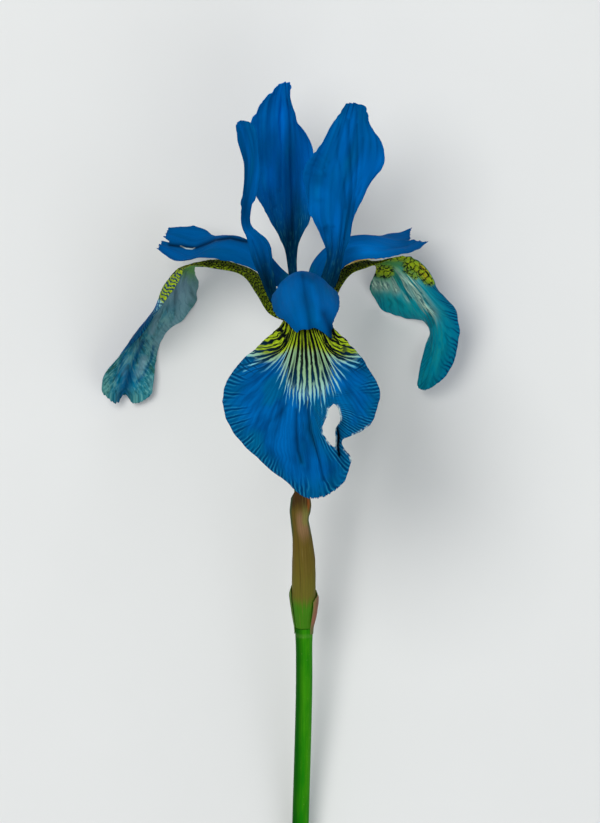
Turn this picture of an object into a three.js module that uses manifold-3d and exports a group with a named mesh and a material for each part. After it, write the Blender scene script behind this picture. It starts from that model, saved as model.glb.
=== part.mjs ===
import * as THREE from 'three';
import { mergeVertices } from 'three/addons/utils/BufferGeometryUtils.js';
import Module from 'manifold-3d';

// An iris flower of the Siberian type on its cut stem, lying on its back. Millimetres, +Z up.
// While it is modelled the origin is the heart of the flower, which is the top of its perianth tube:
// +X runs across, +Y from the stem to the tips of the standards and +Z away from the surface below.

const wasm = await Module();
wasm.setup();

// Driving dimensions
const heartHeight = 29.8;
const stemReach = 126;
const stemRadius = 1.85;
const nodeReach = 66.8;
const spatheReach = 37;
const ovaryTop = 6.55;
const ovaryLength = 18;
const ovaryRadius = 2.1;
const pedicelRadius = 0.95;
const tubeRadius = 4.3;
const tubeDepth = 6.4;
const cupDepth = 0.8;
const styleRadius = 1.5;
const styleHeight = 8.5;
const filamentRadius = 0.42;
const antherLength = 8;
const bladeThickness = 0.7;
const sheathWall = 0.6;
const seatGap = 0.3;

// The stem's cut end and the far margins of the two side falls touch the surface, so the axis of the
// flower rises from the cut end to the heart at this angle.
const axisTilt = Math.atan2(heartHeight - stemRadius, stemReach);
const rise = Math.tan(axisTilt);

const colours = {
  stem: 0x3c8417,
  spathe: 0x6b5a1e,
  bract: 0x7d6a52,
  green: 0x4f8a2a,
  fall: 0x0d5b96,
  standard: 0x0b5794,
  crest: 0x0d62a3,
  style: 0x2a6a9a,
  anther: 0xb9a05a,
};

const flower = new THREE.Group();

function addPiece(name, geometry, colour) {
  const material = new THREE.MeshStandardMaterial({ color: colour, roughness: 0.6, metalness: 0 });
  const piece = new THREE.Mesh(geometry, material);
  piece.name = name;
  flower.add(piece);
}

// A point given round the flower's own axis: the azimuth is 0 towards +Z and positive towards +X.
function aroundAxis(azimuth, radius, height) {
  const angle = THREE.MathUtils.degToRad(azimuth);
  const forward = radius * Math.cos(angle);
  return new THREE.Vector3(
    radius * Math.sin(angle),
    height * Math.cos(axisTilt) - forward * Math.sin(axisTilt),
    forward * Math.cos(axisTilt) + height * Math.sin(axisTilt));
}

// A point of the stalk, which climbs with the axis: how far it is from the heart, and its sway in X.
function alongStalk(sway, y) {
  return new THREE.Vector3(sway, y, y * rise);
}

// ---- Closed meshes from grids of points ----

function meshFrom(points, triangles) {
  const geometry = new THREE.BufferGeometry();
  const numbers = points.flatMap((p) => p.toArray());
  geometry.setAttribute('position', new THREE.Float32BufferAttribute(numbers, 3));
  geometry.setIndex(triangles);
  return geometry;
}

// Rings of points become the skin of a solid with a flat fan at each end.
function skinRings(rings) {
  const sides = rings[0].length;
  const points = rings.flat();
  const triangles = [];
  for (let ring = 0; ring < rings.length - 1; ring += 1) {
    for (let side = 0; side < sides; side += 1) {
      const next = (side + 1) % sides;
      const [a, b] = [ring * sides + side, ring * sides + next];
      const [c, d] = [a + sides, b + sides];
      triangles.push(a, b, d, a, d, c);
    }
  }
  for (const [ring, turn] of [[0, -1], [rings.length - 1, 1]]) {
    const centre = points.length;
    points.push(rings[ring].reduce((sum, p) => sum.add(p), new THREE.Vector3()).divideScalar(sides));
    for (let side = 0; side < sides; side += 1) {
      const [a, b] = [ring * sides + side, ring * sides + ((side + 1) % sides)];
      triangles.push(centre, ...(turn > 0 ? [a, b] : [b, a]));
    }
  }
  return meshFrom(points, triangles);
}

// Two matching grids of points, one over the other, become a slab that is closed round its edge. Both
// faces are split into triangles along the same diagonals.
function closedSlab(outer, inner, rows, columns) {
  const perFace = outer.length;
  const at = (row, column) => row * (columns + 1) + column;
  const triangles = [];
  for (let row = 0; row < rows; row += 1) {
    for (let column = 0; column < columns; column += 1) {
      const [a, b] = [at(row, column), at(row, column + 1)];
      const [c, d] = [at(row + 1, column), at(row + 1, column + 1)];
      for (const [p, q, r] of [[a, c, b], [b, c, d]]) {
        triangles.push(p, q, r, p + perFace, r + perFace, q + perFace);
      }
    }
  }
  const edge = [];
  for (let row = 0; row < rows; row += 1) edge.push(at(row, 0));
  for (let column = 0; column < columns; column += 1) edge.push(at(rows, column));
  for (let row = rows; row > 0; row -= 1) edge.push(at(row, columns));
  for (let column = columns; column > 0; column -= 1) edge.push(at(0, column));
  edge.forEach((p, index) => {
    const q = edge[(index + 1) % edge.length];
    triangles.push(p, p + perFace, q, q, p + perFace, q + perFace);
  });
  return meshFrom([...outer, ...inner], triangles);
}

// A solid swept along a path. section(t, angle) gives the distance of the skin from the path, as
// { across, up }; across is measured along the given direction made square to the path.
function sweptBody({ path, across, section, rings = 16, sides = 12 }) {
  const curve = new THREE.CatmullRomCurve3(path);
  const loops = [];
  for (let ring = 0; ring <= rings; ring += 1) {
    const t = ring / rings;
    const centre = curve.getPoint(t);
    const tangent = curve.getTangent(t);
    const side = across.clone().addScaledVector(tangent, -across.dot(tangent)).normalize();
    const up = new THREE.Vector3().crossVectors(tangent, side);
    const loop = [];
    for (let step = 0; step < sides; step += 1) {
      const angle = (2 * Math.PI * step) / sides;
      const reach = section(t, angle);
      loop.push(centre.clone()
        .addScaledVector(side, reach.across * Math.cos(angle))
        .addScaledVector(up, reach.up * Math.sin(angle)));
    }
    loops.push(loop);
  }
  return skinRings(loops);
}

const round = (radius) => ({ across: radius, up: radius });

// Values read off a list of [t, value] pairs, with straight lines between them.
function profile(pairs, t) {
  const next = pairs.findIndex(([at]) => at >= t);
  if (next <= 0) return pairs[next === 0 ? 0 : pairs.length - 1][1];
  const [[t0, v0], [t1, v1]] = [pairs[next - 1], pairs[next]];
  return THREE.MathUtils.mapLinear(t, t0, t1, v0, v1);
}

// ---- Petals and style arms ----

// A blade is a sheet through three rails: its left margin, its midrib and its right margin. Each
// station lists one point of each rail, from the base of the blade to its tip. u runs along the
// rails and v across them, from -1 to 1. The tip is trimmed by how far each v reaches along the rails.
function bladeSheet({ stations, tip, ruffle }) {
  const rails = [0, 1, 2].map((side) => new THREE.CatmullRomCurve3(
    stations.map((station) => new THREE.Vector3(...station[side])), false, 'catmullrom', 0.5));

  const reach = (v) => 1 - tip.round * Math.abs(v) ** 3
    - tip.notch * Math.exp(-(((v - tip.notchAt) / tip.notchWidth) ** 2))
    - tip.toothDepth * (0.5 - 0.5 * Math.cos(Math.PI * tip.teeth * (v + 1)));

  const plain = (u, v) => {
    const t = THREE.MathUtils.clamp(u * reach(v), 0, 1);
    const [left, mid, right] = rails.map((rail) => rail.getPoint(t));
    const half = right.clone().sub(left).multiplyScalar(0.5);
    const bow = right.clone().add(left).multiplyScalar(0.5).sub(mid);
    return mid.addScaledVector(half, v).addScaledVector(bow, v * v);
  };

  const wave = (u, v) => ruffle.height * Math.abs(v) ** 3 * THREE.MathUtils.smoothstep(u, 0.3, 0.7)
    * Math.sin(2 * Math.PI * ruffle.waves * u + (v > 0 ? ruffle.phase : 0));

  return (u, v) => plain(u, v).addScaledVector(sheetNormal(plain, u, v), wave(u, v));
}

function sheetNormal(sheet, u, v) {
  const step = 0.01;
  const [u0, u1] = [Math.max(u - step, 0), Math.min(u + step, 1)];
  const [v0, v1] = [Math.max(v - step, -1), Math.min(v + step, 1)];
  const along = sheet(u1, v).sub(sheet(u0, v));
  const across = sheet(u, v1).sub(sheet(u, v0));
  return along.cross(across).normalize();
}

// The sheet is thickened to both sides.
function bladeGeometry(blade) {
  const { rows, columns } = blade;
  const sheet = bladeSheet(blade);
  const points = [];
  for (const side of [1, -1]) {
    for (let row = 0; row <= rows; row += 1) {
      for (let column = 0; column <= columns; column += 1) {
        const [u, v] = [row / rows, (2 * column) / columns - 1];
        const normal = sheetNormal(sheet, u, v);
        points.push(sheet(u, v).addScaledVector(normal, (side * bladeThickness) / 2));
      }
    }
  }
  const perFace = points.length / 2;
  return closedSlab(points.slice(0, perFace), points.slice(perFace), rows, columns);
}

const plainTip = { round: 0.03, notch: 0, notchAt: 0, notchWidth: 0.2, teeth: 0, toothDepth: 0 };

const fallShape = { rows: 22, columns: 10 };

const fallFront = {
  ...fallShape,
  tip: { ...plainTip, round: 0, notch: 0.012, notchAt: 0.1, notchWidth: 0.12 },
  ruffle: { height: 0.6, waves: 4, phase: 1.8 },
  stations: [
    [[-1.5, 0.1, 3.3], [0, 0.2, 3.7], [1.5, 0.1, 3.3]],
    [[-2.2, 1.7, 9.5], [0, 1.5, 9.3], [2.2, 1.7, 9.5]],
    [[-2.9, 5.1, 17], [0, 4.6, 16.6], [3.1, 5.1, 17]],
    [[-3.1, 4.8, 25], [0, 4.4, 24.5], [3.5, 4.8, 25]],
    [[-3.5, 2.4, 31.5], [0.2, 2, 31], [4.2, 2.4, 31.5]],
    [[-5.6, -0.9, 34.5], [0.4, -1.5, 35], [8.1, -2.2, 35]],
    [[-9.9, -4.8, 36], [0.7, -6.4, 37.3], [11.7, -5.5, 36]],
    [[-17.2, -12.5, 36], [0.9, -13.2, 39.3], [16.1, -12.5, 35.5]],
    [[-16.3, -21.8, 37], [0.9, -20.9, 41], [15.6, -20.5, 37]],
    [[-8.8, -30.4, 39.5], [1.3, -29.3, 41.5], [11.7, -27.9, 39.5]],
    [[-2.2, -35.6, 40.5], [2.9, -38.1, 41], [9.2, -34.3, 40.5]],
  ],
};

const fallLeft = {
  ...fallShape,
  tip: { ...plainTip, notch: 0.03, notchWidth: 0.22 },
  ruffle: { height: 0.5, waves: 4, phase: 2.2 },
  stations: [
    [[-2.3, 1.3, -3], [-3.1, 1.1, -1.7], [-3.8, 0.8, -0.4]],
    [[-5.5, 4.2, -6.2], [-6.6, 3.7, -3.5], [-7.5, 2.6, -1]],
    [[-7.7, 8.1, -8.6], [-9.2, 7.7, -5], [-10.2, 6.8, -1.4]],
    [[-10.3, 11.7, -10.5], [-11.9, 11.4, -6.3], [-13, 10.6, -2.2]],
    [[-15, 13.8, -13], [-16.5, 13, -8.2], [-17.2, 12.2, -4]],
    [[-20.5, 14.6, -16], [-21.6, 13.5, -10.5], [-22, 12.8, -5.6]],
    [[-23.8, 12.5, -22], [-26.2, 12.8, -13], [-26, 12.1, -5.2]],
    [[-22.7, 8.4, -29.2], [-29.8, 9.2, -16], [-28, 9.2, -5]],
    [[-25.3, 3.5, -29.1], [-32.3, 3.5, -18.5], [-31, 4.2, -9]],
    [[-29.3, -1.3, -28.9], [-36.1, -1.3, -21], [-34.5, -1.1, -14]],
    [[-32.1, -6.4, -28.8], [-38.3, -6.4, -24], [-40.5, -6.2, -19]],
    [[-32.8, -11.7, -27.5], [-39.4, -11.7, -26.3], [-44.2, -11.4, -22]],
    [[-33.9, -17.4, -26.8], [-39.4, -17.6, -27.3], [-44.2, -16.9, -23.5]],
  ],
};

const fallRight = {
  ...fallShape,
  tip: { ...plainTip, round: 0.02 },
  ruffle: { height: 0.5, waves: 4, phase: 0.9 },
  stations: [
    [[3.8, 0.8, -0.4], [3.1, 1.1, -1.7], [2.3, 1.3, -3]],
    [[6.6, 4.6, -1], [5.7, 5.3, -3.6], [4.6, 5.7, -6]],
    [[8.4, 8.4, -1.5], [7.5, 9.2, -5], [6.4, 9.9, -8.4]],
    [[10.8, 11.4, -3], [9.9, 12.5, -7], [9, 13.3, -10.8]],
    [[14.7, 12.9, -5], [14.1, 13.6, -10], [13.2, 14.3, -14.5]],
    [[19.1, 14.5, -7.2], [18, 13.9, -13], [16.1, 12.8, -20.5]],
    [[23.3, 15, -7.8], [21.1, 12.5, -14.5], [14.5, 8.1, -26.8]],
    [[27.3, 12.1, -8], [23.8, 9, -16], [16.7, 4.4, -29.6]],
    [[30.4, 7.9, -10.5], [26.6, 5.3, -18], [21.8, 2.3, -29.2]],
    [[33.7, 3.5, -14], [29.3, 0.9, -20.3], [26.6, 0.4, -27.8]],
    [[34.6, -1.8, -17.5], [29.9, -4, -22.2], [27.5, -3.1, -27]],
    [[33.9, -7.5, -20], [28.8, -9.2, -23.6], [26.2, -9, -26.2]],
    [[31, -12.3, -21.5], [27.3, -14.3, -24], [24.9, -13.6, -25.6]],
  ],
};

const standardShape = { rows: 20, columns: 8 };

const standardBack = {
  ...standardShape,
  tip: { ...plainTip, round: 0 },
  ruffle: { height: 0.5, waves: 3, phase: 1.4 },
  stations: [
    [[-1.5, 1.2, -3.2], [0, 1.3, -3.5], [1.5, 1.2, -3.2]],
    [[-2.9, 6.6, -3.8], [-1.5, 6.6, -4.5], [-0.2, 6.6, -3.8]],
    [[-3.3, 12.1, -3.8], [-2.4, 12.1, -4.7], [-1.3, 12.1, -3.6]],
    [[-4.4, 17.6, -2.8], [-2.6, 17.2, -4.4], [-0.9, 17.6, -2.6]],
    [[-7.7, 23.8, -0.6], [-3.1, 23.1, -4], [1.5, 23.3, -1]],
    [[-10.3, 28.6, 1], [-3.3, 28.8, -4], [2.2, 28.4, -1]],
    [[-11.7, 35, 2], [-3.5, 34.5, -4.5], [2.4, 34.1, -1.5]],
    [[-11.9, 41.1, 3], [-3.7, 40.7, -4], [1.5, 40, -1]],
    [[-11, 46, 4], [-3.7, 46.6, -2], [-1.2, 45.8, 1]],
    [[-8.6, 49.7, 5], [-4, 50.4, 1], [-2.6, 49.7, 3]],
    [[-6.2, 52.1, 6], [-4.2, 53.6, 4], [-2.7, 52.4, 5]],
  ],
};

const standardRight = {
  ...standardShape,
  tip: { ...plainTip, round: 0, notch: 0.025, notchAt: -0.15, notchWidth: 0.6 },
  ruffle: { height: 0.6, waves: 3.5, phase: 2.6 },
  stations: [
    [[2.2, -0.2, 3], [2.9, 0.1, 1.7], [3.7, 0.4, 0.4]],
    [[3.3, 5.1, 5], [4.4, 5.1, 3.6], [5.5, 5.3, 2.6]],
    [[3.8, 9.7, 6.8], [5.7, 9.7, 4.8], [7.7, 9.9, 4.4]],
    [[5.1, 15, 8.6], [7, 15.2, 6], [9, 15.2, 6]],
    [[3.6, 19.6, 10.5], [7.5, 20, 6.6], [10.4, 19.6, 6.8]],
    [[1.1, 24.4, 13], [7.7, 24.6, 8], [11.4, 24.2, 8]],
    [[0.3, 29.7, 15.5], [8.1, 29.7, 9], [14.1, 29.5, 8.5]],
    [[0.3, 34.5, 17], [9.2, 35.2, 10.5], [18, 35, 9]],
    [[3.5, 40.3, 17.5], [10.3, 40.5, 13], [17.4, 40, 10.5]],
    [[7.3, 44.7, 17.5], [11, 44.9, 15], [14.5, 44.7, 13]],
    [[9.5, 48.1, 17.5], [11.5, 48.7, 16.5], [13.8, 47.8, 15]],
  ],
};

const standardLeft = {
  ...standardShape,
  tip: { ...plainTip, round: 0 },
  ruffle: { height: 0.4, waves: 3, phase: 0.7 },
  stations: [
    [[-3.7, 0.4, 0.4], [-2.9, 0.1, 1.7], [-2.2, -0.2, 3]],
    [[-7.2, 5.3, 2], [-6, 5.3, 3.6], [-4.8, 5.3, 5.4]],
    [[-9.2, 9.9, 4], [-7.7, 10.1, 5.4], [-6.4, 10.1, 7.2]],
    [[-11.2, 14.7, 5.2], [-9, 15, 7.2], [-6.8, 15, 9.4]],
    [[-12.2, 18.5, 5.4], [-10.1, 18.7, 8.6], [-7.9, 18.3, 11.5]],
    [[-13.4, 21.6, 5.6], [-12.3, 21.6, 9], [-11.2, 21.8, 12]],
    [[-13.6, 24.9, 5.4], [-12.3, 25.3, 10], [-11.1, 25.1, 13.5]],
    [[-13, 29.7, 5], [-11.7, 29.9, 11], [-10.3, 29.7, 17]],
    [[-13.1, 35.2, 5.5], [-11.2, 35.4, 13], [-9.5, 35.2, 20]],
    [[-14, 40.5, 8], [-11.9, 40.7, 14.5], [-9.7, 40.5, 20.5]],
    [[-14.4, 43.8, 12], [-13.4, 44.8, 15.5], [-10.8, 43.8, 18.5]],
  ],
};

// The style arms arch out over the falls and end in two toothed crests.
const armShape = { rows: 16, columns: 12, ruffle: { height: 0.3, waves: 3, phase: 1 } };
const crestTip = { ...plainTip, round: 0, teeth: 3, toothDepth: 0.03 };

const styleArmFront = {
  ...armShape,
  tip: { ...crestTip, notch: 0.07, notchAt: 0.05, notchWidth: 0.16 },
  stations: [
    [[-0.5, 8.7, 3], [0, 8.7, 3.2], [0.5, 8.7, 3]],
    [[-2.6, 9.2, 7.5], [-0.2, 10.7, 8], [2.2, 9.5, 7.5]],
    [[-5.1, 8.4, 13.5], [-0.2, 11.6, 14], [5.1, 8.8, 13.5]],
    [[-6.7, 6.4, 19.5], [-0.2, 11.2, 20], [7.5, 7, 19.5]],
    [[-7, 4, 25.5], [0, 9.5, 26], [8.1, 5.1, 26]],
    [[-5.9, 2, 30.5], [0.4, 6.6, 31], [7.6, 2.6, 31]],
    [[-3.7, 0.2, 36.2], [1.1, 3.1, 36], [7, 0, 36]],
    [[-1.5, -1.8, 38], [1.8, -1.8, 38.2], [6.4, -3, 38]],
  ],
};

const styleArmLeft = {
  ...armShape,
  tip: { ...crestTip, notch: 0.05, notchWidth: 0.12 },
  stations: [
    [[-0.5, 9.2, 0.5], [-1, 9.1, 1.4], [-1.5, 8.9, 2.3]],
    [[-4.6, 11.2, -2.1], [-4.8, 12, -0.4], [-5.5, 8.4, 1.6]],
    [[-7.8, 13.8, -5.2], [-8.2, 15.7, -2.2], [-9.2, 11.2, 1.2]],
    [[-11.7, 16.1, -8.6], [-12.3, 18.5, -4.6], [-13.2, 13.1, 0]],
    [[-15.8, 17.4, -11], [-16.1, 19.5, -6.5], [-17.4, 14.2, -1]],
    [[-19.8, 19.8, -13.5], [-20, 18.6, -8.8], [-21.6, 14.7, -3]],
    [[-23.5, 21.8, -15.5], [-24, 16.6, -11], [-25.3, 14.3, -5]],
    [[-26.8, 21.9, -17], [-27.1, 17.6, -13], [-28.6, 14.6, -7]],
    [[-29.7, 21.6, -18], [-31.2, 19.1, -14.5], [-32.3, 16.8, -9.5]],
  ],
};

const styleArmRight = {
  ...armShape,
  tip: { ...crestTip, notch: 0.05, notchWidth: 0.12 },
  stations: [
    [[1.5, 8.9, 2.3], [1, 9.1, 1.4], [0.5, 9.2, 0.5]],
    [[4.4, 8.4, 1.4], [2.4, 13.4, -0.8], [2, 11.4, -3]],
    [[6.8, 10.8, 1], [5.5, 16.9, -2.6], [4.8, 14.7, -6.5]],
    [[10.1, 13.4, 0.2], [9.5, 19, -4.8], [8.8, 16.9, -10]],
    [[13.9, 14.3, -1.4], [13.4, 19.6, -7], [13, 17.4, -12.5]],
    [[17.6, 14.7, -3.6], [16.7, 19.2, -9.3], [16.3, 18.7, -14.8]],
    [[21.1, 15.2, -4.8], [20, 18.5, -11.4], [19.4, 20.2, -17]],
    [[24.4, 16.5, -7.4], [22.4, 18.5, -13.6], [22, 20.9, -19]],
    [[27.7, 18.5, -11], [24.2, 19, -15.3], [24.2, 21.3, -20]],
  ],
};

// ---- The tear in the front fall ----

// A hole beside the midrib, and a gash that parts the right lobe from the tip, as outlines seen from
// above, in X and Y.
const tearHole = [
  [6.8, -17.2], [5.5, -18.5], [5.5, -19.6], [4.8, -20.9], [4.2, -22.4], [4.4, -24], [5.3, -25.3],
  [6.2, -26.4], [7, -27.1], [7.1, -25], [7, -22.9], [7.7, -21.8], [8.1, -21.1], [8.1, -20],
  [7.7, -18.3],
];
const tearGash = [
  [18, -19.5], [14.3, -22.2], [12.5, -23.5], [10.3, -24.4], [8.6, -25.1], [8.4, -26], [9.2, -27.5],
  [10.2, -28.6], [10.6, -29.8], [18, -29.8],
];
const tearFloor = 30;
const tearHeight = 16;

function toManifold(geometry) {
  const bare = geometry.clone();
  bare.deleteAttribute('normal');
  bare.deleteAttribute('uv');
  const merged = mergeVertices(bare, 1e-5);
  return new wasm.Manifold(new wasm.Mesh({
    numProp: 3,
    vertProperties: merged.attributes.position.array,
    triVerts: new Uint32Array(merged.index.array),
  }));
}

function fromManifold(solid) {
  const { vertProperties, triVerts } = solid.getMesh();
  const geometry = new THREE.BufferGeometry();
  geometry.setAttribute('position', new THREE.Float32BufferAttribute(vertProperties, 3));
  geometry.setIndex([...triVerts]);
  return geometry;
}

function tornFall(blade) {
  let solid = toManifold(bladeGeometry(blade));
  for (const outline of [tearHole, tearGash]) {
    const shape = new THREE.Shape(outline.map(([x, y]) => new THREE.Vector2(x, y)));
    const cutter = new THREE.ExtrudeGeometry(shape, { depth: tearHeight, bevelEnabled: false });
    cutter.translate(0, 0, tearFloor);
    solid = solid.subtract(toManifold(cutter));
  }
  return fromManifold(solid);
}

// ---- Stem, bracts and the middle of the flower ----

function stem() {
  const cutEnd = new THREE.Vector3(-1, -stemReach, stemRadius * Math.cos(axisTilt) - heartHeight);
  const path = [cutEnd, alongStalk(-0.5, -108), alongStalk(0.2, -82), alongStalk(0.2, -nodeReach)];
  const girth = [[0, 1], [0.9, 0.98], [0.97, 1.04], [1, 1.03]];
  return sweptBody({
    path,
    across: new THREE.Vector3(1, 0, 0),
    section: (t) => round(stemRadius * profile(girth, t)),
    rings: 12,
    sides: 12,
  });
}

// The sheath's outer radius and its sway in X, from the node up to the rim.
const sheathGirth = [
  [0, 1.9], [0.09, 2.3], [0.2, 2.7], [0.35, 2.65], [0.5, 2.55], [0.65, 2.2], [0.81, 2.03], [0.87, 2.35],
  [0.95, 2.36], [1, 2.1],
];
const sheathSway = [
  [0, 0.2], [0.35, 0.2], [0.5, 0.13], [0.65, -0.1], [0.81, -0.75], [0.95, -0.5], [1, -0.55],
];
const sheathBase = -nodeReach + seatGap;
const sheathTop = -spatheReach;

function sheathCentre(t) {
  return alongStalk(profile(sheathSway, t), THREE.MathUtils.lerp(sheathBase, sheathTop, t));
}

// One point round the sheath, square to the stalk: angle 0 is +X and a quarter turn is upwards.
// lean moves it along the stalk.
function sheathPoint(t, angle, radius, lean = 0) {
  const height = radius * Math.sin(angle);
  const offset = new THREE.Vector3(
    radius * Math.cos(angle),
    lean * Math.cos(axisTilt) - height * Math.sin(axisTilt),
    lean * Math.sin(axisTilt) + height * Math.cos(axisTilt));
  return sheathCentre(t).add(offset);
}

// The spathe is a sheath: its skin goes up the inside, over a rim with two lips and down the outside.
function spathe() {
  const sides = 16;
  const steps = 11;
  const cavityFloor = 0.12;
  const lip = (angle) => 0.4 * Math.sin(angle) - 1.2 * Math.cos(2 * angle);
  const ring = (t, thinner) => {
    const rimShare = THREE.MathUtils.smoothstep(t, 0.8, 1);
    const radius = profile(sheathGirth, t) - thinner;
    return Array.from({ length: sides }, (_, side) => {
      const angle = (2 * Math.PI * side) / sides;
      return sheathPoint(t, angle, radius, lip(angle) * rimShare);
    });
  };
  const shares = Array.from({ length: steps + 1 }, (_, step) => step / steps);
  const inside = shares.map((share) => ring(THREE.MathUtils.lerp(cavityFloor, 1, share), sheathWall));
  const outside = shares.map((share) => ring(1 - share, 0));
  return skinRings([...inside, ...outside]);
}

// A short lower bract clasps the back of the sheath and the top of the stem. Its margins part in
// front, and its tip stands highest at the back.
function lowerBract() {
  const rows = 6;
  const columns = 10;
  const firstMargin = THREE.MathUtils.degToRad(165);
  const wrap = THREE.MathUtils.degToRad(240);
  const [base, top] = [-0.05, 0.26];
  const tipRise = (angle) => -1.4 * Math.sin(angle) - 0.6 * Math.cos(angle);
  const alongStem = (sheathTop - sheathBase) / Math.cos(axisTilt);
  const outer = [];
  const inner = [];
  for (let row = 0; row <= rows; row += 1) {
    const t = THREE.MathUtils.lerp(base, top, row / rows);
    const onSheath = Math.max(t, 0);
    const seat = Math.max(profile(sheathGirth, onSheath), 1.03 * stemRadius) + seatGap;
    for (let column = 0; column <= columns; column += 1) {
      const angle = firstMargin + (wrap * column) / columns;
      const lean = (t - onSheath) * alongStem + (tipRise(angle) * row) / rows;
      outer.push(sheathPoint(onSheath, angle, seat + sheathWall, lean));
      inner.push(sheathPoint(onSheath, angle, seat, lean));
    }
  }
  return closedSlab(outer, inner, rows, columns);
}

// The pedicel rises inside the spathe, the three-sided ovary follows, and the perianth tube widens
// into a shallow cup that carries the petals.
function pedicel() {
  const base = THREE.MathUtils.lerp(sheathBase, sheathTop, 0.12) + seatGap;
  const top = -ovaryTop - ovaryLength - seatGap;
  return sweptBody({
    path: [
      alongStalk(0.2, base), alongStalk(0.1, -52), alongStalk(-0.75, -42.5), alongStalk(-0.8, -36),
      alongStalk(-0.4, top),
    ],
    across: new THREE.Vector3(1, 0, 0),
    section: (t) => round(pedicelRadius * profile([[0, 1], [0.6, 1], [0.75, 1.25], [1, 1.35]], t)),
    rings: 14,
    sides: 8,
  });
}

function ovary() {
  const girth = [[0, 0.7], [0.2, 0.92], [0.5, 1], [0.85, 0.85], [1, 0.7]];
  return sweptBody({
    path: [
      alongStalk(-0.4, -ovaryTop - ovaryLength), alongStalk(-0.2, -ovaryTop - ovaryLength / 2),
      alongStalk(0, -ovaryTop),
    ],
    across: new THREE.Vector3(1, 0, 0),
    section: (t, angle) => round(ovaryRadius * profile(girth, t) * (1 + 0.1 * Math.sin(3 * angle))),
    rings: 10,
    sides: 12,
  });
}

function perianthTube() {
  const outline = [
    [0, -tubeDepth], [1.5, -tubeDepth], [1.7, -4.6], [2.3, -2.6], [3.4, -1.1],
    [tubeRadius, -0.35], [tubeRadius, 0], [3, 0], [2.9, -cupDepth], [0, -cupDepth],
  ];
  const tube = new THREE.LatheGeometry(outline.map(([r, h]) => new THREE.Vector2(r, h)), 18);
  // The lathe turns about +Y, which is leant back onto the axis of the flower.
  tube.rotateX(axisTilt);
  return tube;
}

function styleColumn() {
  const base = seatGap - cupDepth;
  return sweptBody({
    path: [aroundAxis(0, 0, base), aroundAxis(0, 0, styleHeight / 2), aroundAxis(0, 0, styleHeight)],
    across: new THREE.Vector3(1, 0, 0),
    section: (t, angle) => round(styleRadius * profile([[0, 0.8], [0.7, 0.85], [1, 1]], t)
      * (1 + 0.06 * Math.sin(3 * angle))),
    rings: 4,
    sides: 12,
  });
}

// A stamen follows the channel between a fall and the style arm above it, and ends in a long anther.
function stamen(azimuth) {
  const angle = THREE.MathUtils.degToRad(azimuth);
  const reach = 20.5;
  const route = [
    [2.25, seatGap - cupDepth], [2.4, 3], [3.6, 6.8], [6.2, 10.2], [10, 12.3], [14.5, 13.3], [reach, 13.2],
  ];
  const antherStart = 1 - antherLength / 23;
  const width = [[0, 1], [antherStart, 0.9], [antherStart + 0.04, 1.7], [0.97, 1.6], [1, 0.9]];
  return sweptBody({
    path: route.map(([radius, height]) => aroundAxis(azimuth, radius, height)),
    across: new THREE.Vector3(Math.cos(angle), Math.sin(angle) * Math.sin(axisTilt), -Math.sin(angle)),
    section: (t) => ({
      across: filamentRadius * profile(width, t),
      up: filamentRadius * profile([[0, 1], [antherStart, 0.9], [0.97, 1.1], [1, 0.7]], t),
    }),
    rings: 16,
    sides: 6,
  });
}

addPiece('fall_front', tornFall(fallFront), colours.fall);
addPiece('fall_left', bladeGeometry(fallLeft), colours.fall);
addPiece('fall_right', bladeGeometry(fallRight), colours.fall);
addPiece('standard_back', bladeGeometry(standardBack), colours.standard);
addPiece('standard_left', bladeGeometry(standardLeft), colours.standard);
addPiece('standard_right', bladeGeometry(standardRight), colours.standard);
addPiece('style_arm_front', bladeGeometry(styleArmFront), colours.crest);
addPiece('style_arm_left', bladeGeometry(styleArmLeft), colours.crest);
addPiece('style_arm_right', bladeGeometry(styleArmRight), colours.crest);
addPiece('stamen_front', stamen(0), colours.anther);
addPiece('stamen_left', stamen(-120), colours.anther);
addPiece('stamen_right', stamen(120), colours.anther);
addPiece('style_column', styleColumn(), colours.style);
addPiece('perianth_tube', perianthTube(), colours.green);
addPiece('ovary', ovary(), colours.green);
addPiece('pedicel', pedicel(), colours.green);
addPiece('stem', stem(), colours.stem);
addPiece('spathe', spathe(), colours.spathe);
addPiece('spathe_lower', lowerBract(), colours.bract);

// The finished flower stands over its origin, in the middle of what it covers.
const box = new THREE.Box3().setFromObject(flower, true);
const middle = box.getCenter(new THREE.Vector3());
flower.position.set(-middle.x, -middle.y, -box.min.z);

export default flower;
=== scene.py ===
import math

import bpy
import numpy as np
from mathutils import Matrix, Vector


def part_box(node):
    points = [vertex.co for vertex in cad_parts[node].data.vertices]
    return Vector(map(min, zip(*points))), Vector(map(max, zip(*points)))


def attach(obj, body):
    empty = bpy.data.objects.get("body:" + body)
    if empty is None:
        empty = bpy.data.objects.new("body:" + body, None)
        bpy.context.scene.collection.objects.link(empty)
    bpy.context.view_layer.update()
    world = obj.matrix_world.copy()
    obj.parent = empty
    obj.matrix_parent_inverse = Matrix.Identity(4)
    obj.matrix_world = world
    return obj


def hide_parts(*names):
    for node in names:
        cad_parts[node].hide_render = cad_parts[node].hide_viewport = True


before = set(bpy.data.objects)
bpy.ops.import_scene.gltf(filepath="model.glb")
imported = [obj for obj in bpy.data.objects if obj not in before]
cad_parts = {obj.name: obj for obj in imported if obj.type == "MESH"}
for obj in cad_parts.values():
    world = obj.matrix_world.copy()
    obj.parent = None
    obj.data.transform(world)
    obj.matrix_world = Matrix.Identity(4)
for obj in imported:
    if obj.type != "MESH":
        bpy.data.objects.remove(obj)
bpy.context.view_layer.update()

# Everything below is in millimetres round the heart of the flower, the top of its perianth tube, until
# a mesh is written. +Z is away from the floor and +Y runs from the stem to the standards.
heartHeight = 29.8
stemReach = 126
stemRadius = 1.85
nodeReach = 66.8
spatheReach = 37
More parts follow.
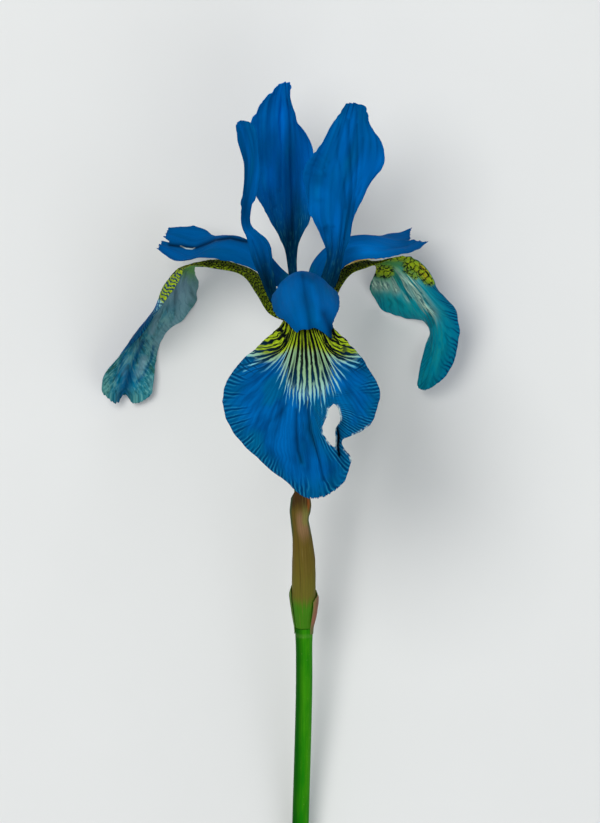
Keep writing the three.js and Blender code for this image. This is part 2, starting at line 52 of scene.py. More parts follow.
ovaryTop = 6.55
ovaryLength = 18
ovaryRadius = 2.1
pedicelRadius = 0.95
tubeRadius = 4.3
tubeDepth = 6.4
cupDepth = 0.8
styleHeight = 8.5
seatGap = 0.3
tilt = math.atan2(heartHeight - stemRadius, stemReach)
rise = math.tan(tilt)
sheathBase = -nodeReach + seatGap
sheathTop = -spatheReach

# A millimetre in metres, a distance past everything here, and the bits that a hash keeps.
mm = 0.001
far = 1e9
hashMask = 0xFFFFFFFF

tubeLow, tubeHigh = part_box("perianth_tube")
heart = np.array([
    500 * (tubeLow[0] + tubeHigh[0]),
    1000 * tubeHigh[1] - tubeRadius * math.sin(tilt),
    1000 * tubeHigh[2] - tubeRadius * math.cos(tilt),
])
print("heart of the flower (mm):", np.round(heart, 3))


def smooth(value, low, high):
    share = np.clip((value - low) / (high - low), 0, 1)
    return share * share * (3 - 2 * share)


def lattice(column, row, seed):
    mixed = column.astype(np.int64) * 374761393 + row.astype(np.int64) * 668265263 + seed * 144665
    mixed = mixed & hashMask
    mixed = ((mixed ^ (mixed >> 13)) * 1274126177) & hashMask
    return ((mixed ^ (mixed >> 16)) & 0xFFFF) / 32767.5 - 1


# Smooth noise from -1 to 1, the same on every run.
def ripple(x, y, seed, layers=2):
    x, y = np.broadcast_arrays(np.asarray(x, float), np.asarray(y, float))
    total = np.zeros(x.shape)
    for layer in range(layers):
        px, py = x * 2 ** layer, y * 2 ** layer
        column, row = np.floor(px), np.floor(py)
        fx, fy = smooth(px - column, 0, 1), smooth(py - row, 0, 1)
        corners = [lattice(column + i, row + j, seed + layer) for j in (0, 1) for i in (0, 1)]
        low = corners[0] + (corners[1] - corners[0]) * fx
        high = corners[2] + (corners[3] - corners[2]) * fx
        total += (low + (high - low) * fy) * 0.5 ** layer
    return total


# A rail through its points: a uniform Catmull-Rom curve with its ends reflected.
def railAt(points, t):
    points = np.asarray(points, float)
    held = np.vstack([2 * points[0] - points[1], points, 2 * points[-1] - points[-2]])
    spans = len(points) - 1
    at = np.clip(t, 0, 1) * spans
    first = np.minimum(at.astype(int), spans - 1)
    w = (at - first)[..., None]
    a, b, c, d = held[first], held[first + 1], held[first + 2], held[first + 3]
    bend = (2 * a - 5 * b + 4 * c - d) * w ** 2 + (3 * b - a - 3 * c + d) * w ** 3
    return 0.5 * (2 * b + (c - a) * w + bend)


def gridNormals(points):
    normals = np.cross(np.gradient(points, axis=0), np.gradient(points, axis=1))
    return normals / np.maximum(np.linalg.norm(normals, axis=-1, keepdims=True), 1e-12)


# The stretches of a broken line: where each one starts and runs, and the share along it nearest x, y.
def stretches(x, y, path):
    for (x0, y0), (x1, y1) in zip(path, path[1:]):
        dx, dy = x1 - x0, y1 - y0
        yield x0, y0, dx, dy, np.clip(((x - x0) * dx + (y - y0) * dy) / (dx * dx + dy * dy), 0, 1)


# How far each x, y is from a broken line.
def lineDistance(x, y, path):
    nearest = np.full(x.shape, far)
    for x0, y0, dx, dy, share in stretches(x, y, path):
        nearest = np.minimum(nearest, np.hypot(x - x0 - share * dx, y - y0 - share * dy))
    return nearest


def insideOutline(x, y, outline):
    inside = np.zeros(x.shape, bool)
    for (x0, y0), (x1, y1) in zip(outline, outline[1:] + outline[:1]):
        crosses = (y0 > y) != (y1 > y)
        slope = (x1 - x0) / (y1 - y0) if y1 != y0 else 0
        inside ^= crosses & (x < x0 + (y - y0) * slope)
    return inside


def putInScene(name, data):
    thing = bpy.data.objects.new(name, data)
    bpy.context.scene.collection.objects.link(thing)
    return thing


# Writes a mesh in the frame's metres. Faces are lists of corners, and traits are values kept on its
# points for the finishes to read.
def makePiece(name, points, faces, traits):
    mesh = bpy.data.meshes.new(name)
    placed = (np.asarray(points, float) + heart) * mm
    corners = np.concatenate([np.asarray(part, np.int32).ravel() for part in faces])
    sizes = np.concatenate([np.full(len(part), len(part[0]), np.int32) for part in faces])
    starts = np.concatenate([[0], np.cumsum(sizes)[:-1]]).astype(np.int32)
    mesh.vertices.add(len(placed))
    mesh.vertices.foreach_set("co", placed.astype(np.float32).ravel())
    mesh.loops.add(len(corners))
    mesh.loops.foreach_set("vertex_index", corners)
    mesh.polygons.add(len(sizes))
    mesh.polygons.foreach_set("loop_start", starts)
    mesh.polygons.foreach_set("use_smooth", np.full(len(sizes), True))
    for trait, values in traits.items():
        kept = mesh.attributes.new(trait, "FLOAT_VECTOR", "POINT")
        kept.data.foreach_set("vector", np.asarray(values, np.float32).ravel())
    mesh.update(calc_edges=True)
    mesh.validate()
    return putInScene(name, mesh)


def dress(piece, node, slot, finish=None):
    if finish:
        piece.data.materials.clear()
        piece.data.materials.append(finish)
    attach(piece, "root")
    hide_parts(node)
    piece.data.calc_loop_triangles()
    print(f"{piece.name}: {len(piece.data.loop_triangles)} triangles")


# A wire is one output socket that can be used like a number.
class Wire:
    def __init__(self, bench, socket):
        self.bench = bench
        self.socket = socket

    def maths(self, operation, *others):
        return self.bench.maths(operation, self, *others)

    def offWhole(self):
        return abs(self - self.maths("ROUND"))

    def __add__(self, other):
        return self.maths("ADD", other)

    def __mul__(self, other):
        return self.maths("MULTIPLY", other)

    def __sub__(self, other):
        return self.maths("SUBTRACT", other)

    def __rsub__(self, other):
        return self.bench.maths("SUBTRACT", other, self)

    def __abs__(self):
        return self.maths("ABSOLUTE")

    __radd__, __rmul__ = __add__, __mul__


# A bench holds one node tree, of a material or of geometry.
class Bench:
    def __init__(self, tree):
        self.tree = tree
        tree.nodes.clear()

    def add(self, kind, settings=None, sockets=None, result=0):
        node = self.tree.nodes.new(kind)
        for setting, value in (settings or {}).items():
            if setting == "stops":
                while len(node.color_ramp.elements) < len(value):
                    node.color_ramp.elements.new(0.5)
                for stop, (place, colour) in zip(node.color_ramp.elements, value):
                    stop.position = place
                    stop.color = colour
            else:
                setattr(node, setting, value)
        for key, value in (sockets or {}).items():
            if isinstance(value, Wire):
                self.tree.links.new(value.socket, node.inputs[key])
            else:
                node.inputs[key].default_value = value
        return Wire(self, node.outputs[result]) if result is not None else node

    def maths(self, operation, *values):
        return self.add("ShaderNodeMath", {"operation": operation}, dict(enumerate(values)))


def tone(red, green, blue):
    linear = [((c / 255 + 0.055) / 1.055) ** 2.4 if c > 10.3 else c / 255 / 12.92 for c in (red, green, blue)]
    return (*linear, 1)


def palette(**colours):
    return {name: tone(*colour) for name, colour in colours.items()}


class Finish(Bench):
    def __init__(self, name):
        self.material = bpy.data.materials.new(name)
        self.material.use_nodes = True
        super().__init__(self.material.node_tree)

    def trait(self, name):
        both = self.add("ShaderNodeAttribute", {"attribute_name": name}, None, "Vector")
        split = self.add("ShaderNodeSeparateXYZ", None, {0: both}, None)
        return [Wire(self, output) for output in split.outputs]

    def place(self):
        return self.add("ShaderNodeTexCoord", None, None, "Object")

    def point(self, x, y, z=0.0):
        return self.add("ShaderNodeCombineXYZ", None, {0: x, 1: y, 2: z})

    def scaled(self, vector, x, y, z):
        return self.add("ShaderNodeVectorMath", {"operation": "MULTIPLY"}, {0: vector, 1: (x, y, z)})

    def grain(self, vector, scale=1.0, detail=2.0, roughness=0.5):
        return self.add("ShaderNodeTexNoise", {"noise_dimensions": "3D"},
                        {"Vector": vector, "Scale": scale, "Detail": detail, "Roughness": roughness})

    def noise(self, x, y, z=0.0, detail=2.0, roughness=0.5):
        return self.grain(self.point(x, y, z), 1.0, detail, roughness)

    # Noise in the piece's own space, with one scale across the stem and one along it.
    def cloud(self, across, along):
        return self.grain(self.scaled(self.place(), across, along, across), 1.0, 3.0)

    def cells(self, vector, feature="DISTANCE_TO_EDGE"):
        return self.add("ShaderNodeTexVoronoi", {"voronoi_dimensions": "2D", "feature": feature},
                        {"Vector": vector, "Scale": 1.0, "Randomness": 1.0}, "Distance")

    def dice(self, number, shift=0.0):
        return self.add("ShaderNodeTexWhiteNoise", {"noise_dimensions": "1D"}, {"W": number + shift})

    def step(self, value, low, high):
        return self.add("ShaderNodeMapRange", {"interpolation_type": "SMOOTHSTEP"},
                        {"Value": value, "From Min": low, "From Max": high, "To Min": 0.0, "To Max": 1.0})

    def blend(self, share, first, second):
        return self.add("ShaderNodeMix", {"data_type": "RGBA", "clamp_factor": True},
                        {0: share, 6: first, 7: second}, 2)

    # Lays coats over a first colour, each by its share. A colour is a wire, or its name among the tones.
    def coats(self, tones, first, *layers):
        colour = tones.get(first, first)
        for share, coat in layers:
            colour = self.blend(share, colour, tones.get(coat, coat))
        return colour

    # Scales a colour by a share: painted light above 1 and painted shade below it.
    def lit(self, colour, share):
        return self.add("ShaderNodeVectorMath", {"operation": "SCALE"}, {0: colour, 3: share})

    def bump(self, height, distance, strength):
        return self.add("ShaderNodeBump", None,
                        {"Height": height, "Distance": distance, "Strength": strength})

    def close(self, colour, roughness, normal=None, **fixed):
        sockets = {"Base Color": colour, "Roughness": roughness}
        if normal:
            sockets["Normal"] = normal
        sockets.update({key.replace("_", " "): value for key, value in fixed.items()})
        shader = self.add("ShaderNodeBsdfPrincipled", None, sockets)
        self.add("ShaderNodeOutputMaterial", None, {"Surface": shader}, None)
        return self.material


# A blade is a sheet through its left margin, midrib and right margin. u runs from base to tip and v
# across. round, notch and teeth trim the tip, and fringe and wander roughen its margins.
bladeDefaults = dict(
    rows=200, columns=110, baseShare=0.3, baseRows=0.3, thick=0.3, thin=0.1,
    round=0.03, notch=0.0, notchAt=0.0, notchWidth=0.2, teeth=0, toothDepth=0.0,
    fringe=0.0, fringeRate=9.0, wander=0.3, ruffle=(0.5, 4, 2.0), seed=1,
    furrow=0.12, ribs=0.04, pucker=0.14, flute=0.25, folds=[], fanScale=1.0, feather=0.4, shoulder=30.0,
)


def growBlade(settings):
    blade = {**bladeDefaults, **settings}
    seed = blade["seed"]
    rowShare = np.linspace(0, 1, blade["rows"] + 1)
    u = np.interp(rowShare, [0, blade["baseRows"], 1], [0, blade["baseShare"], 1])
    v = np.linspace(-1, 1, blade["columns"] + 1)
    u, v = np.meshgrid(u, v, indexing="ij")
    size = np.abs(v)

    stations = np.array(blade["stations"], float)
    widest = np.linalg.norm(stations[:, 2] - stations[:, 0], axis=1).max() / 2
    reach = 1 - blade["round"] * size ** 3
    reach -= blade["notch"] * np.exp(-((v - blade["notchAt"]) / blade["notchWidth"]) ** 2)
    reach -= blade["toothDepth"] * (0.5 - 0.5 * np.cos(np.pi * blade["teeth"] * (v + 1)))
    saw = np.abs((v * blade["fringeRate"] + 0.6 * ripple(v * 5, 0.3, seed + 5)) % 1 - 0.35)
    reach -= blade["fringe"] * (saw + 0.5 * ripple(v * 14, 1.7, seed + 6, 1))
    t = np.clip(u * reach, 0, 1)

    left, mid, right = (railAt(stations[:, side], t) for side in range(3))
    halfWidth = np.linalg.norm(right - left, axis=-1) / 2
    wear = blade["wander"] * (0.5 + 0.5 * ripple(u * 26, np.sign(v) * 3, seed + 7, 3)) * smooth(u, 0.25, 0.5)
    v = v * (1 - wear / np.maximum(halfWidth, 1) * smooth(size, 0.7, 1))
    sheet = mid + (right - left) / 2 * v[..., None] + ((left + right) / 2 - mid) * (v * v)[..., None]

    height, waves, phase = blade["ruffle"]
    swing = np.sin(2 * np.pi * waves * u + np.where(v > 0, phase, 0))
    wave = height * np.abs(v) ** 3 * smooth(u, 0.3, 0.7) * swing
    sheet = sheet + gridNormals(sheet) * wave[..., None]

    midrib = sheet[:, blade["columns"] // 2]
    along = np.concatenate([[0], np.cumsum(np.linalg.norm(np.diff(midrib, axis=0), axis=1))])
    depth = np.interp(t, u[:, 0] * reach[:, blade["columns"] // 2], along) - blade["shoulder"]
    across = v * halfWidth
    margin = np.minimum((1 - size) * halfWidth, (1 - u) * along[-1])
    return dict(blade, u=u, v=v, sheet=sheet, depth=depth, across=across, margin=margin,
                halfWidth=halfWidth, widest=widest)


# Lanes are the strips between the main veins, counted from the midrib. On a fall they follow these
# guides, which run side by side down its narrow haft and bend out from a bundle at its mouth. A guide
# is its lane, then its across and depth in millimetres on the front fall.
fanGuides = [
    (0, [(0, 0), (0, 6), (0, 15), (0, 27), (0, 45)]),
    (2, [(0.55, 0), (1.3, 4.3), (2.1, 10.4), (3.1, 19.4), (3.5, 28.4), (3.4, 45)]),
    (4, [(1.0, 0), (2.0, 4.5), (3.7, 11.5), (6.4, 20.5), (8.7, 28.4), (11, 40)]),
    (6, [(1.45, 0), (2.7, 5.0), (5.0, 11.5), (8.6, 17.9), (12.6, 23.9), (17.5, 33)]),
    (8, [(1.9, 0), (3.4, 6.0), (5.9, 10.8), (9.9, 14.9), (14.8, 19.0), (21, 25.5)]),
    (10, [(2.35, 0), (4.1, 6.8), (6.7, 9.9), (11.4, 12.2), (15.9, 14.2), (22, 17.5)]),
    (12, [(2.8, 0), (4.8, 7.0), (8.0, 9.2), (12.5, 10.2), (15.8, 10.9), (22, 13.4)]),
    (14, [(3.2, 0), (5.5, 5.6), (8.3, 7.6), (11.3, 8.6), (15.8, 9.6), (22, 11)]),
    (16, [(3.6, 0), (6.1, 4.0), (8.6, 5.6), (10.5, 6.6), (14.5, 7.8), (22, 9)]),
    (19, [(4.3, 0), (6.8, 1.6), (9.4, 3.0), (13, 4.2), (22, 5.5)]),
]
haftHalf = 3.5


def fanLanes(blade):
    size = blade["fanScale"]
    inHaft = 1 - smooth(blade["depth"], -3, 4)
    narrowing = 1 + (haftHalf * 0.95 / np.maximum(blade["halfWidth"], 1) - 1 / size) * inHaft * size
    across = np.abs(blade["across"]) / size * narrowing
    depth = blade["depth"] / size
    lane = np.zeros(across.shape)
    spacing = np.ones(across.shape)
    lastGap, lastLane = None, 0
    for number, path in fanGuides:
        ahead = [(path[0][0], -60.0), (path[0][0], -4.0)]
        held = railAt([(x, y, 0) for x, y in ahead[1:] + path], np.linspace(0, 1, 26))[:, :2]
        line = np.vstack([[ahead[0]], held])
        gap = np.full(across.shape, far)
        side = np.zeros(across.shape)
        for x0, y0, dx, dy, share in stretches(across, depth, line):
            away = np.hypot(across - x0 - share * dx, depth - y0 - share * dy)
            closer = away < gap
            gap = np.where(closer, away, gap)
            side = np.where(closer, np.sign((across - x0) * dy - (depth - y0) * dx), side)
        signed = gap * side
        if lastGap is not None:
            between = (lastGap >= 0) & ((signed < 0) | (number == fanGuides[-1][0]))
            width = np.maximum(np.abs(lastGap) + np.abs(signed) * np.where(signed < 0, 1, -1), 0.05)
            share = np.abs(lastGap) / width
            found = lastLane + (number - lastLane) * np.clip(share, 0, 2)
            lane = np.where(between, found, lane)
            spacing = np.where(between, width / (number - lastLane), spacing)
        lastGap, lastLane = signed, number
    reach = np.hypot(across, np.maximum(depth - 2, 0))
    run = np.where(depth > 2, reach, depth - 2 + across * smooth(depth, -2, 2))
    return dict(lane=lane * np.sign(blade["across"]), run=run, spacing=spacing * size, reach=reach)


# The veins on the back of a fall leave its midrib like the barbs of a feather.
def featherLanes(blade):
    across, depth, slope = np.abs(blade["across"]), blade["depth"], blade["feather"]
    lane = (across - slope * np.maximum(depth, 0) + 0.3 * ripple(across * 0.3, depth * 0.2, 3)) / 1.1
    spacing = np.full(across.shape, 1.1 / math.hypot(1, slope))
    return dict(lane=lane, run=depth + across * 0.5, spacing=spacing)


def longLanes(blade, count, power=0.45):
    share = (np.maximum(blade["halfWidth"], 0.4) / blade["widest"]) ** power
    spacing = np.maximum(blade["halfWidth"], 0.4) / (count * share)
    return dict(lane=blade["v"] * count * share, run=blade["depth"], spacing=spacing)


# Furrow, ribs, puckers, fluted margins and folds push the sheet along its own normal. A fold is its
# line seen from above, its half width, its height and its painted shade: how much darker it is painted,
# and lighter, as painted light, where that is negative.
def creaseBlade(blade, lanes):
    across, margin, seed = blade["across"], blade["margin"], blade["seed"]
    lane, run = lanes["lane"], lanes["run"]
    opened = smooth(blade["u"], 0.2, 0.4)
    lift = -blade["furrow"] * np.exp(-(across / 0.7) ** 2)
    lift += blade["ribs"] * np.cos(2 * np.pi * lane) * smooth(margin, 0, 1)
    lift += blade["pucker"] * ripple(lane * 0.45, run * 0.11, seed + 20, 3) * opened * smooth(margin, 0, 2)
    outer = opened * (1 - smooth(margin, 0, 4))
    lift += blade["flute"] * ripple(lane * 0.8, run * 0.06, seed + 21, 2) * outer
    shade = np.zeros(lift.shape)
    for path, width, fold, dark in blade["folds"]:
        near = nearPath(blade, path, width)
        lift += fold * near
        shade -= dark * near
    blade["sheet"] = blade["sheet"] + gridNormals(blade["sheet"]) * lift[..., None]
    return shade


# The faces of a sheet with two skins: a grid of quads, the same turned over, and a wall along every
# open edge.
def sheetFaces(rows, columns, keep=None):
    index = np.arange(rows * columns).reshape(rows, columns)
    a, b, c, d = index[:-1, :-1], index[:-1, 1:], index[1:, 1:], index[1:, :-1]
    quads = np.stack([a, d, c, b], axis=-1).reshape(-1, 4)
    if keep is not None:
        quads = quads[keep.ravel()]
    count = rows * columns
    starts, ends = quads.ravel(), np.roll(quads, -1, axis=1).ravel()
    rim = ~np.isin(starts * count + ends, ends * count + starts)
    starts, ends = starts[rim], ends[rim]
    walls = np.stack([ends, starts, starts + count, ends + count], axis=-1)
    return np.vstack([quads, quads[:, ::-1] + count, walls])


# The sheet gets its thickness, thinner towards the margin.
def thickenBlade(name, blade, traits, backSide=None, keep=None):
    sheet = blade["sheet"]
    rows, columns = sheet.shape[:2]
    normals = gridNormals(sheet)
    half = 0.5 * (blade["thin"] + (blade["thick"] - blade["thin"]) * smooth(blade["margin"], 0, 2.5))
    keel = blade.get("keel", 0.25) * np.exp(-(blade["across"] / 1.1) ** 2)
    keel = keel * (1 - smooth(blade["u"], 0.3, 0.7))
    upper = sheet + normals * half[..., None]
    under = sheet - normals * (half + keel)[..., None]
    used, fresh = np.unique(sheetFaces(rows, columns, keep), return_inverse=True)
    points = np.concatenate([upper.reshape(-1, 3), under.reshape(-1, 3)])[used]
    kept = {}
    for trait in traits:
        sides = []
        for face in (traits, {**traits, **(backSide or {})}):
            parts = [np.broadcast_to(part, (rows, columns)).ravel() for part in face[trait]]
            sides.append(np.stack(parts, axis=-1))
        if trait == "look":
            sides[1][:, 2] = 0
        kept[trait] = np.concatenate(sides)[used]
    return makePiece(name, points, [fresh.reshape(-1, 4)], kept)


def nearPath(blade, path, width):
    x, y = blade["sheet"][..., 0], blade["sheet"][..., 1]
    return np.exp(-(lineDistance(x, y, path) / width) ** 2)


# The look trait holds the painted light and shade, then the torn rim of a fall and the painted glints of the
# other petals, then which face is up.
def bladeTraits(blade, lanes, shade, pale=-9.0, yellow=-9.0, net=0.0, torn=0.0):
    return {
        "fan": (lanes["lane"], lanes["run"], lanes["spacing"]),
        "sheet": (blade["depth"], blade["across"], blade["margin"]),
        "signal": (pale, yellow, net),
        "look": (1 + shade, torn, 1.0),
    }


studio = dict(
    floorSize=9.0, floorTone=tone(218, 219, 218), worldTone=tone(236, 240, 244), worldStrength=0.5,
    cameraHeight=4.0, frameHeight=0.18106, centreX=-0.66, centreY=-19.03,
    keyPower=11.0, fillPower=4.0, backPower=3.0,
)


def makeFloor():
    half = studio["floorSize"] / 2
    mesh = bpy.data.meshes.new("studio_floor")
    corners = [(-half, -half, 0), (half, -half, 0), (half, half, 0), (-half, half, 0)]
    mesh.from_pydata(corners, [], [(0, 1, 2, 3)])
    floor = putInScene("studio_floor", mesh)
    finish = Finish("studio_paper")
    speck = finish.grain(finish.place(), 30.0, 3.0)
    paper = finish.blend(speck, tone(214, 215, 214), studio["floorTone"])
    mesh.materials.append(finish.close(paper, 0.85, None, Specular_IOR_Level=0.2))


def addLight(name, place, size, power, colour):
    light = bpy.data.lights.new(name, "AREA")
    light.shape = "DISK"
    light.size = size
    light.energy = power
    light.color = colour
    lamp = putInScene(name, light)
    lamp.location = place
    lamp.rotation_euler = (Vector((0, 0, 0.03)) - Vector(place)).to_track_quat("-Z", "Y").to_euler()
    lamp.visible_camera = False


def makeStudio():
    makeFloor()
    addLight("key", (-0.42, 0.3, 1.25), 0.7, studio["keyPower"], (1, 0.985, 0.96))
    addLight("fill", (0.6, -0.6, 1.0), 1.0, studio["fillPower"], (0.94, 0.97, 1))
    addLight("back", (0.25, 1.2, 0.5), 0.6, studio["backPower"], (0.95, 0.98, 1))
    world = bpy.data.worlds.new("studio_air")
    bpy.context.scene.world = world
    world.use_nodes = True
    air = Bench(world.node_tree)
    light = air.add("ShaderNodeBackground", None, {"Color": studio["worldTone"],
                                                  "Strength": studio["worldStrength"]})
    air.add("ShaderNodeOutputWorld", None, {"Surface": light}, None)
    camera = bpy.data.cameras.new("camera")
    camera.lens = 36 * studio["cameraHeight"] / studio["frameHeight"]
    camera.clip_start = 0.1
    camera.clip_end = 100
    eye = putInScene("camera", camera)
    eye.location = ((heart[0] + studio["centreX"]) * mm, (heart[1] + studio["centreY"]) * mm,
                    heart[2] * mm + studio["cameraHeight"])
    bpy.context.scene.camera = eye
    bpy.context.scene.view_settings.view_transform = "Standard"


makeStudio()
print("floor, lights and camera are set")


# How far the pale signal and its yellow part reach from the mouth of the haft, lane by lane.
signalReach = dict(
    lanes=[-19, -16, -14, -12, -11, -10, -9, -8, -7, -6, -5, -4, -2, 0, 2, 4, 5, 6, 7, 8, 9, 10, 11, 12,
           14, 16, 19],
    pale=[20, 20, 20, 20, 20, 19.5, 17.5, 13.8, 14, 15, 16.2, 17.4, 19.2, 20.2, 19.8, 18.6, 18, 17.2, 16,
          14.4, 15.5, 18, 19, 19, 19, 19, 19],
    yellow=[18, 18, 16, 13.4, 11.4, 9.9, 9.2, 8.4, 7.8, 7.4, 7, 6.8, 6.3, 6.1, 6.4, 6.9, 7.2, 7.6, 8, 8.6,
            9.2, 10, 11.2, 12.8, 16, 18, 18],
)


# Washes tint the faces of a fall along a line seen from above. On the upper face they set how far the
# signal still reaches; under it they are shares of light, gold and blue.
def fallTraits(blade, lanes, shade, torn=0.0):
    lane, reach = lanes["lane"], lanes["reach"]
    pale = np.interp(lane, signalReach["lanes"], signalReach["pale"]) - reach
    yellow = np.interp(lane, signalReach["lanes"], signalReach["yellow"]) - reach
    onShoulder = smooth(np.abs(lane), 8.5, 12) * (1 - smooth(reach, 9, 14))
    net = np.where(lanes["run"] < 1, np.maximum(onShoulder, 1 - smooth(lanes["run"], -2, 1)), onShoulder)
    for path, width, paleShare, goldShare in blade.get("upperWashes", []):
        near = nearPath(blade, path, width)
        pale = pale * (1 - near) + near * paleShare
        yellow = yellow * (1 - near) + near * goldShare
        net = np.maximum(net, near * 2 * (goldShare > 0))
    return bladeTraits(blade, lanes, shade, pale, yellow, net, torn)


def backTraits(blade):
    shares = [np.zeros(blade["u"].shape) for _ in range(3)]
    for kind, path, width, strength in blade.get("washes", []):
        at = ("light", "gold", "blue").index(kind)
        shares[at] = np.maximum(shares[at], strength * nearPath(blade, path, width))
    feather = featherLanes(blade)
    return {"fan": (feather["lane"], feather["run"], feather["spacing"]), "signal": shares}


fallFront = dict(
    stations=[
        [[-1.5, 0.1, 3.3], [0, 0.2, 3.7], [1.5, 0.1, 3.3]],
        [[-2.2, 1.7, 9.5], [0, 1.5, 9.3], [2.2, 1.7, 9.5]],
        [[-2.9, 5.1, 17], [0, 4.6, 16.6], [3.1, 5.1, 17]],
        [[-3.1, 4.8, 25], [0, 4.4, 24.5], [3.5, 4.8, 25]],
        [[-3.5, 2.4, 31.5], [0.2, 2, 31], [4.2, 2.4, 31.5]],
        [[-5.6, -0.9, 34.5], [0.4, -1.5, 35], [8.1, -2.2, 35]],
        [[-9.9, -4.8, 36], [0.7, -6.4, 37.3], [11.7, -5.5, 36]],
        [[-17.2, -12.5, 36], [0.9, -13.2, 39.3], [16.1, -12.5, 35.5]],
        [[-16.3, -21.8, 37], [0.9, -20.9, 41], [15.6, -20.5, 37]],
        [[-8.8, -30.4, 39.5], [1.3, -29.3, 41.5], [11.7, -27.9, 39.5]],
        [[-2.2, -35.6, 40.5], [2.9, -38.1, 41], [9.2, -34.3, 40.5]],
    ],
    rows=236, columns=172, baseShare=0.42, baseRows=0.2, seed=11,
    round=0.0, fringe=0.006, fringeRate=13.0, wander=0.4,
    ruffle=(0.6, 4, 1.8), pucker=0.22, flute=0.3, ribs=0.05, furrow=0.1, shoulder=30.5,
    # In each fold the last number is painted shade, and painted light where it is negative.
    folds=[
        ([(0.9, -17), (1.1, -20), (1.5, -23), (2.9, -27), (3.7, -30), (4.4, -34)], 0.42, -0.3, 0.5),
        ([(-1.5, -18.6), (-1.5, -23), (-1.1, -27.5), (-0.4, -30.1)], 0.4, -0.25, 0.5),
        ([(8.6, -21.5), (8.0, -24.5), (8.4, -28.5), (9.0, -31)], 0.8, -0.3, 0.3),
        ([(-6.5, -15), (-9, -19), (-12.3, -21)], 0.9, 0.2, -0.06),
        ([(-4.5, -19), (-6.5, -24.5), (-7.5, -28.5)], 0.8, -0.2, 0.22),
        ([(-3.6, -17.5), (-5.2, -19.5), (-7.4, -21.5)], 0.5, -0.2, 0.25),
        ([(12.5, -10.5), (14.5, -13), (16, -17)], 1.0, -0.2, 0.12),
        ([(5.5, -29), (6.5, -32), (6.2, -35.5)], 0.7, -0.22, 0.16),
        # This fold is painted shadow in the narrow slit between the hole and the gash.
        ([(7.5, -22.6), (7.9, -24.6), (7.6, -26.4), (7.9, -28.6)], 0.42, -0.2, 0.85),
        # The last four folds have no height: they are only painted light and shade.
        ([(-9.5, -21), (-8.5, -25)], 3.2, 0, -0.14),
        ([(-0.5, -22.5), (0, -27)], 2.6, 0, 0.14),
        ([(12.6, -14), (13, -20)], 2.6, 0, -0.08),
        ([(-12.4, -8.6), (-9.6, -10.6)], 1.6, 0, -0.18),
    ],
    hole=[
        (6.8, -17.2), (5.5, -18.5), (5.5, -19.6), (4.8, -20.9), (4.2, -22.4), (4.4, -24), (5.3, -25.3),
        (6.2, -26.4), (7, -27.1), (7.1, -25), (7, -22.9), (7.7, -21.8), (8.1, -21.1), (8.1, -20),
        (7.7, -18.3),
    ],
    gash=[
        (18, -19.5), (14.3, -22.2), (12.5, -23.5), (10.3, -24.4), (8.6, -25.1), (8.4, -26), (9.2, -27.5),
        (10.2, -28.6), (10.6, -29.8), (18, -29.8),
    ],
)

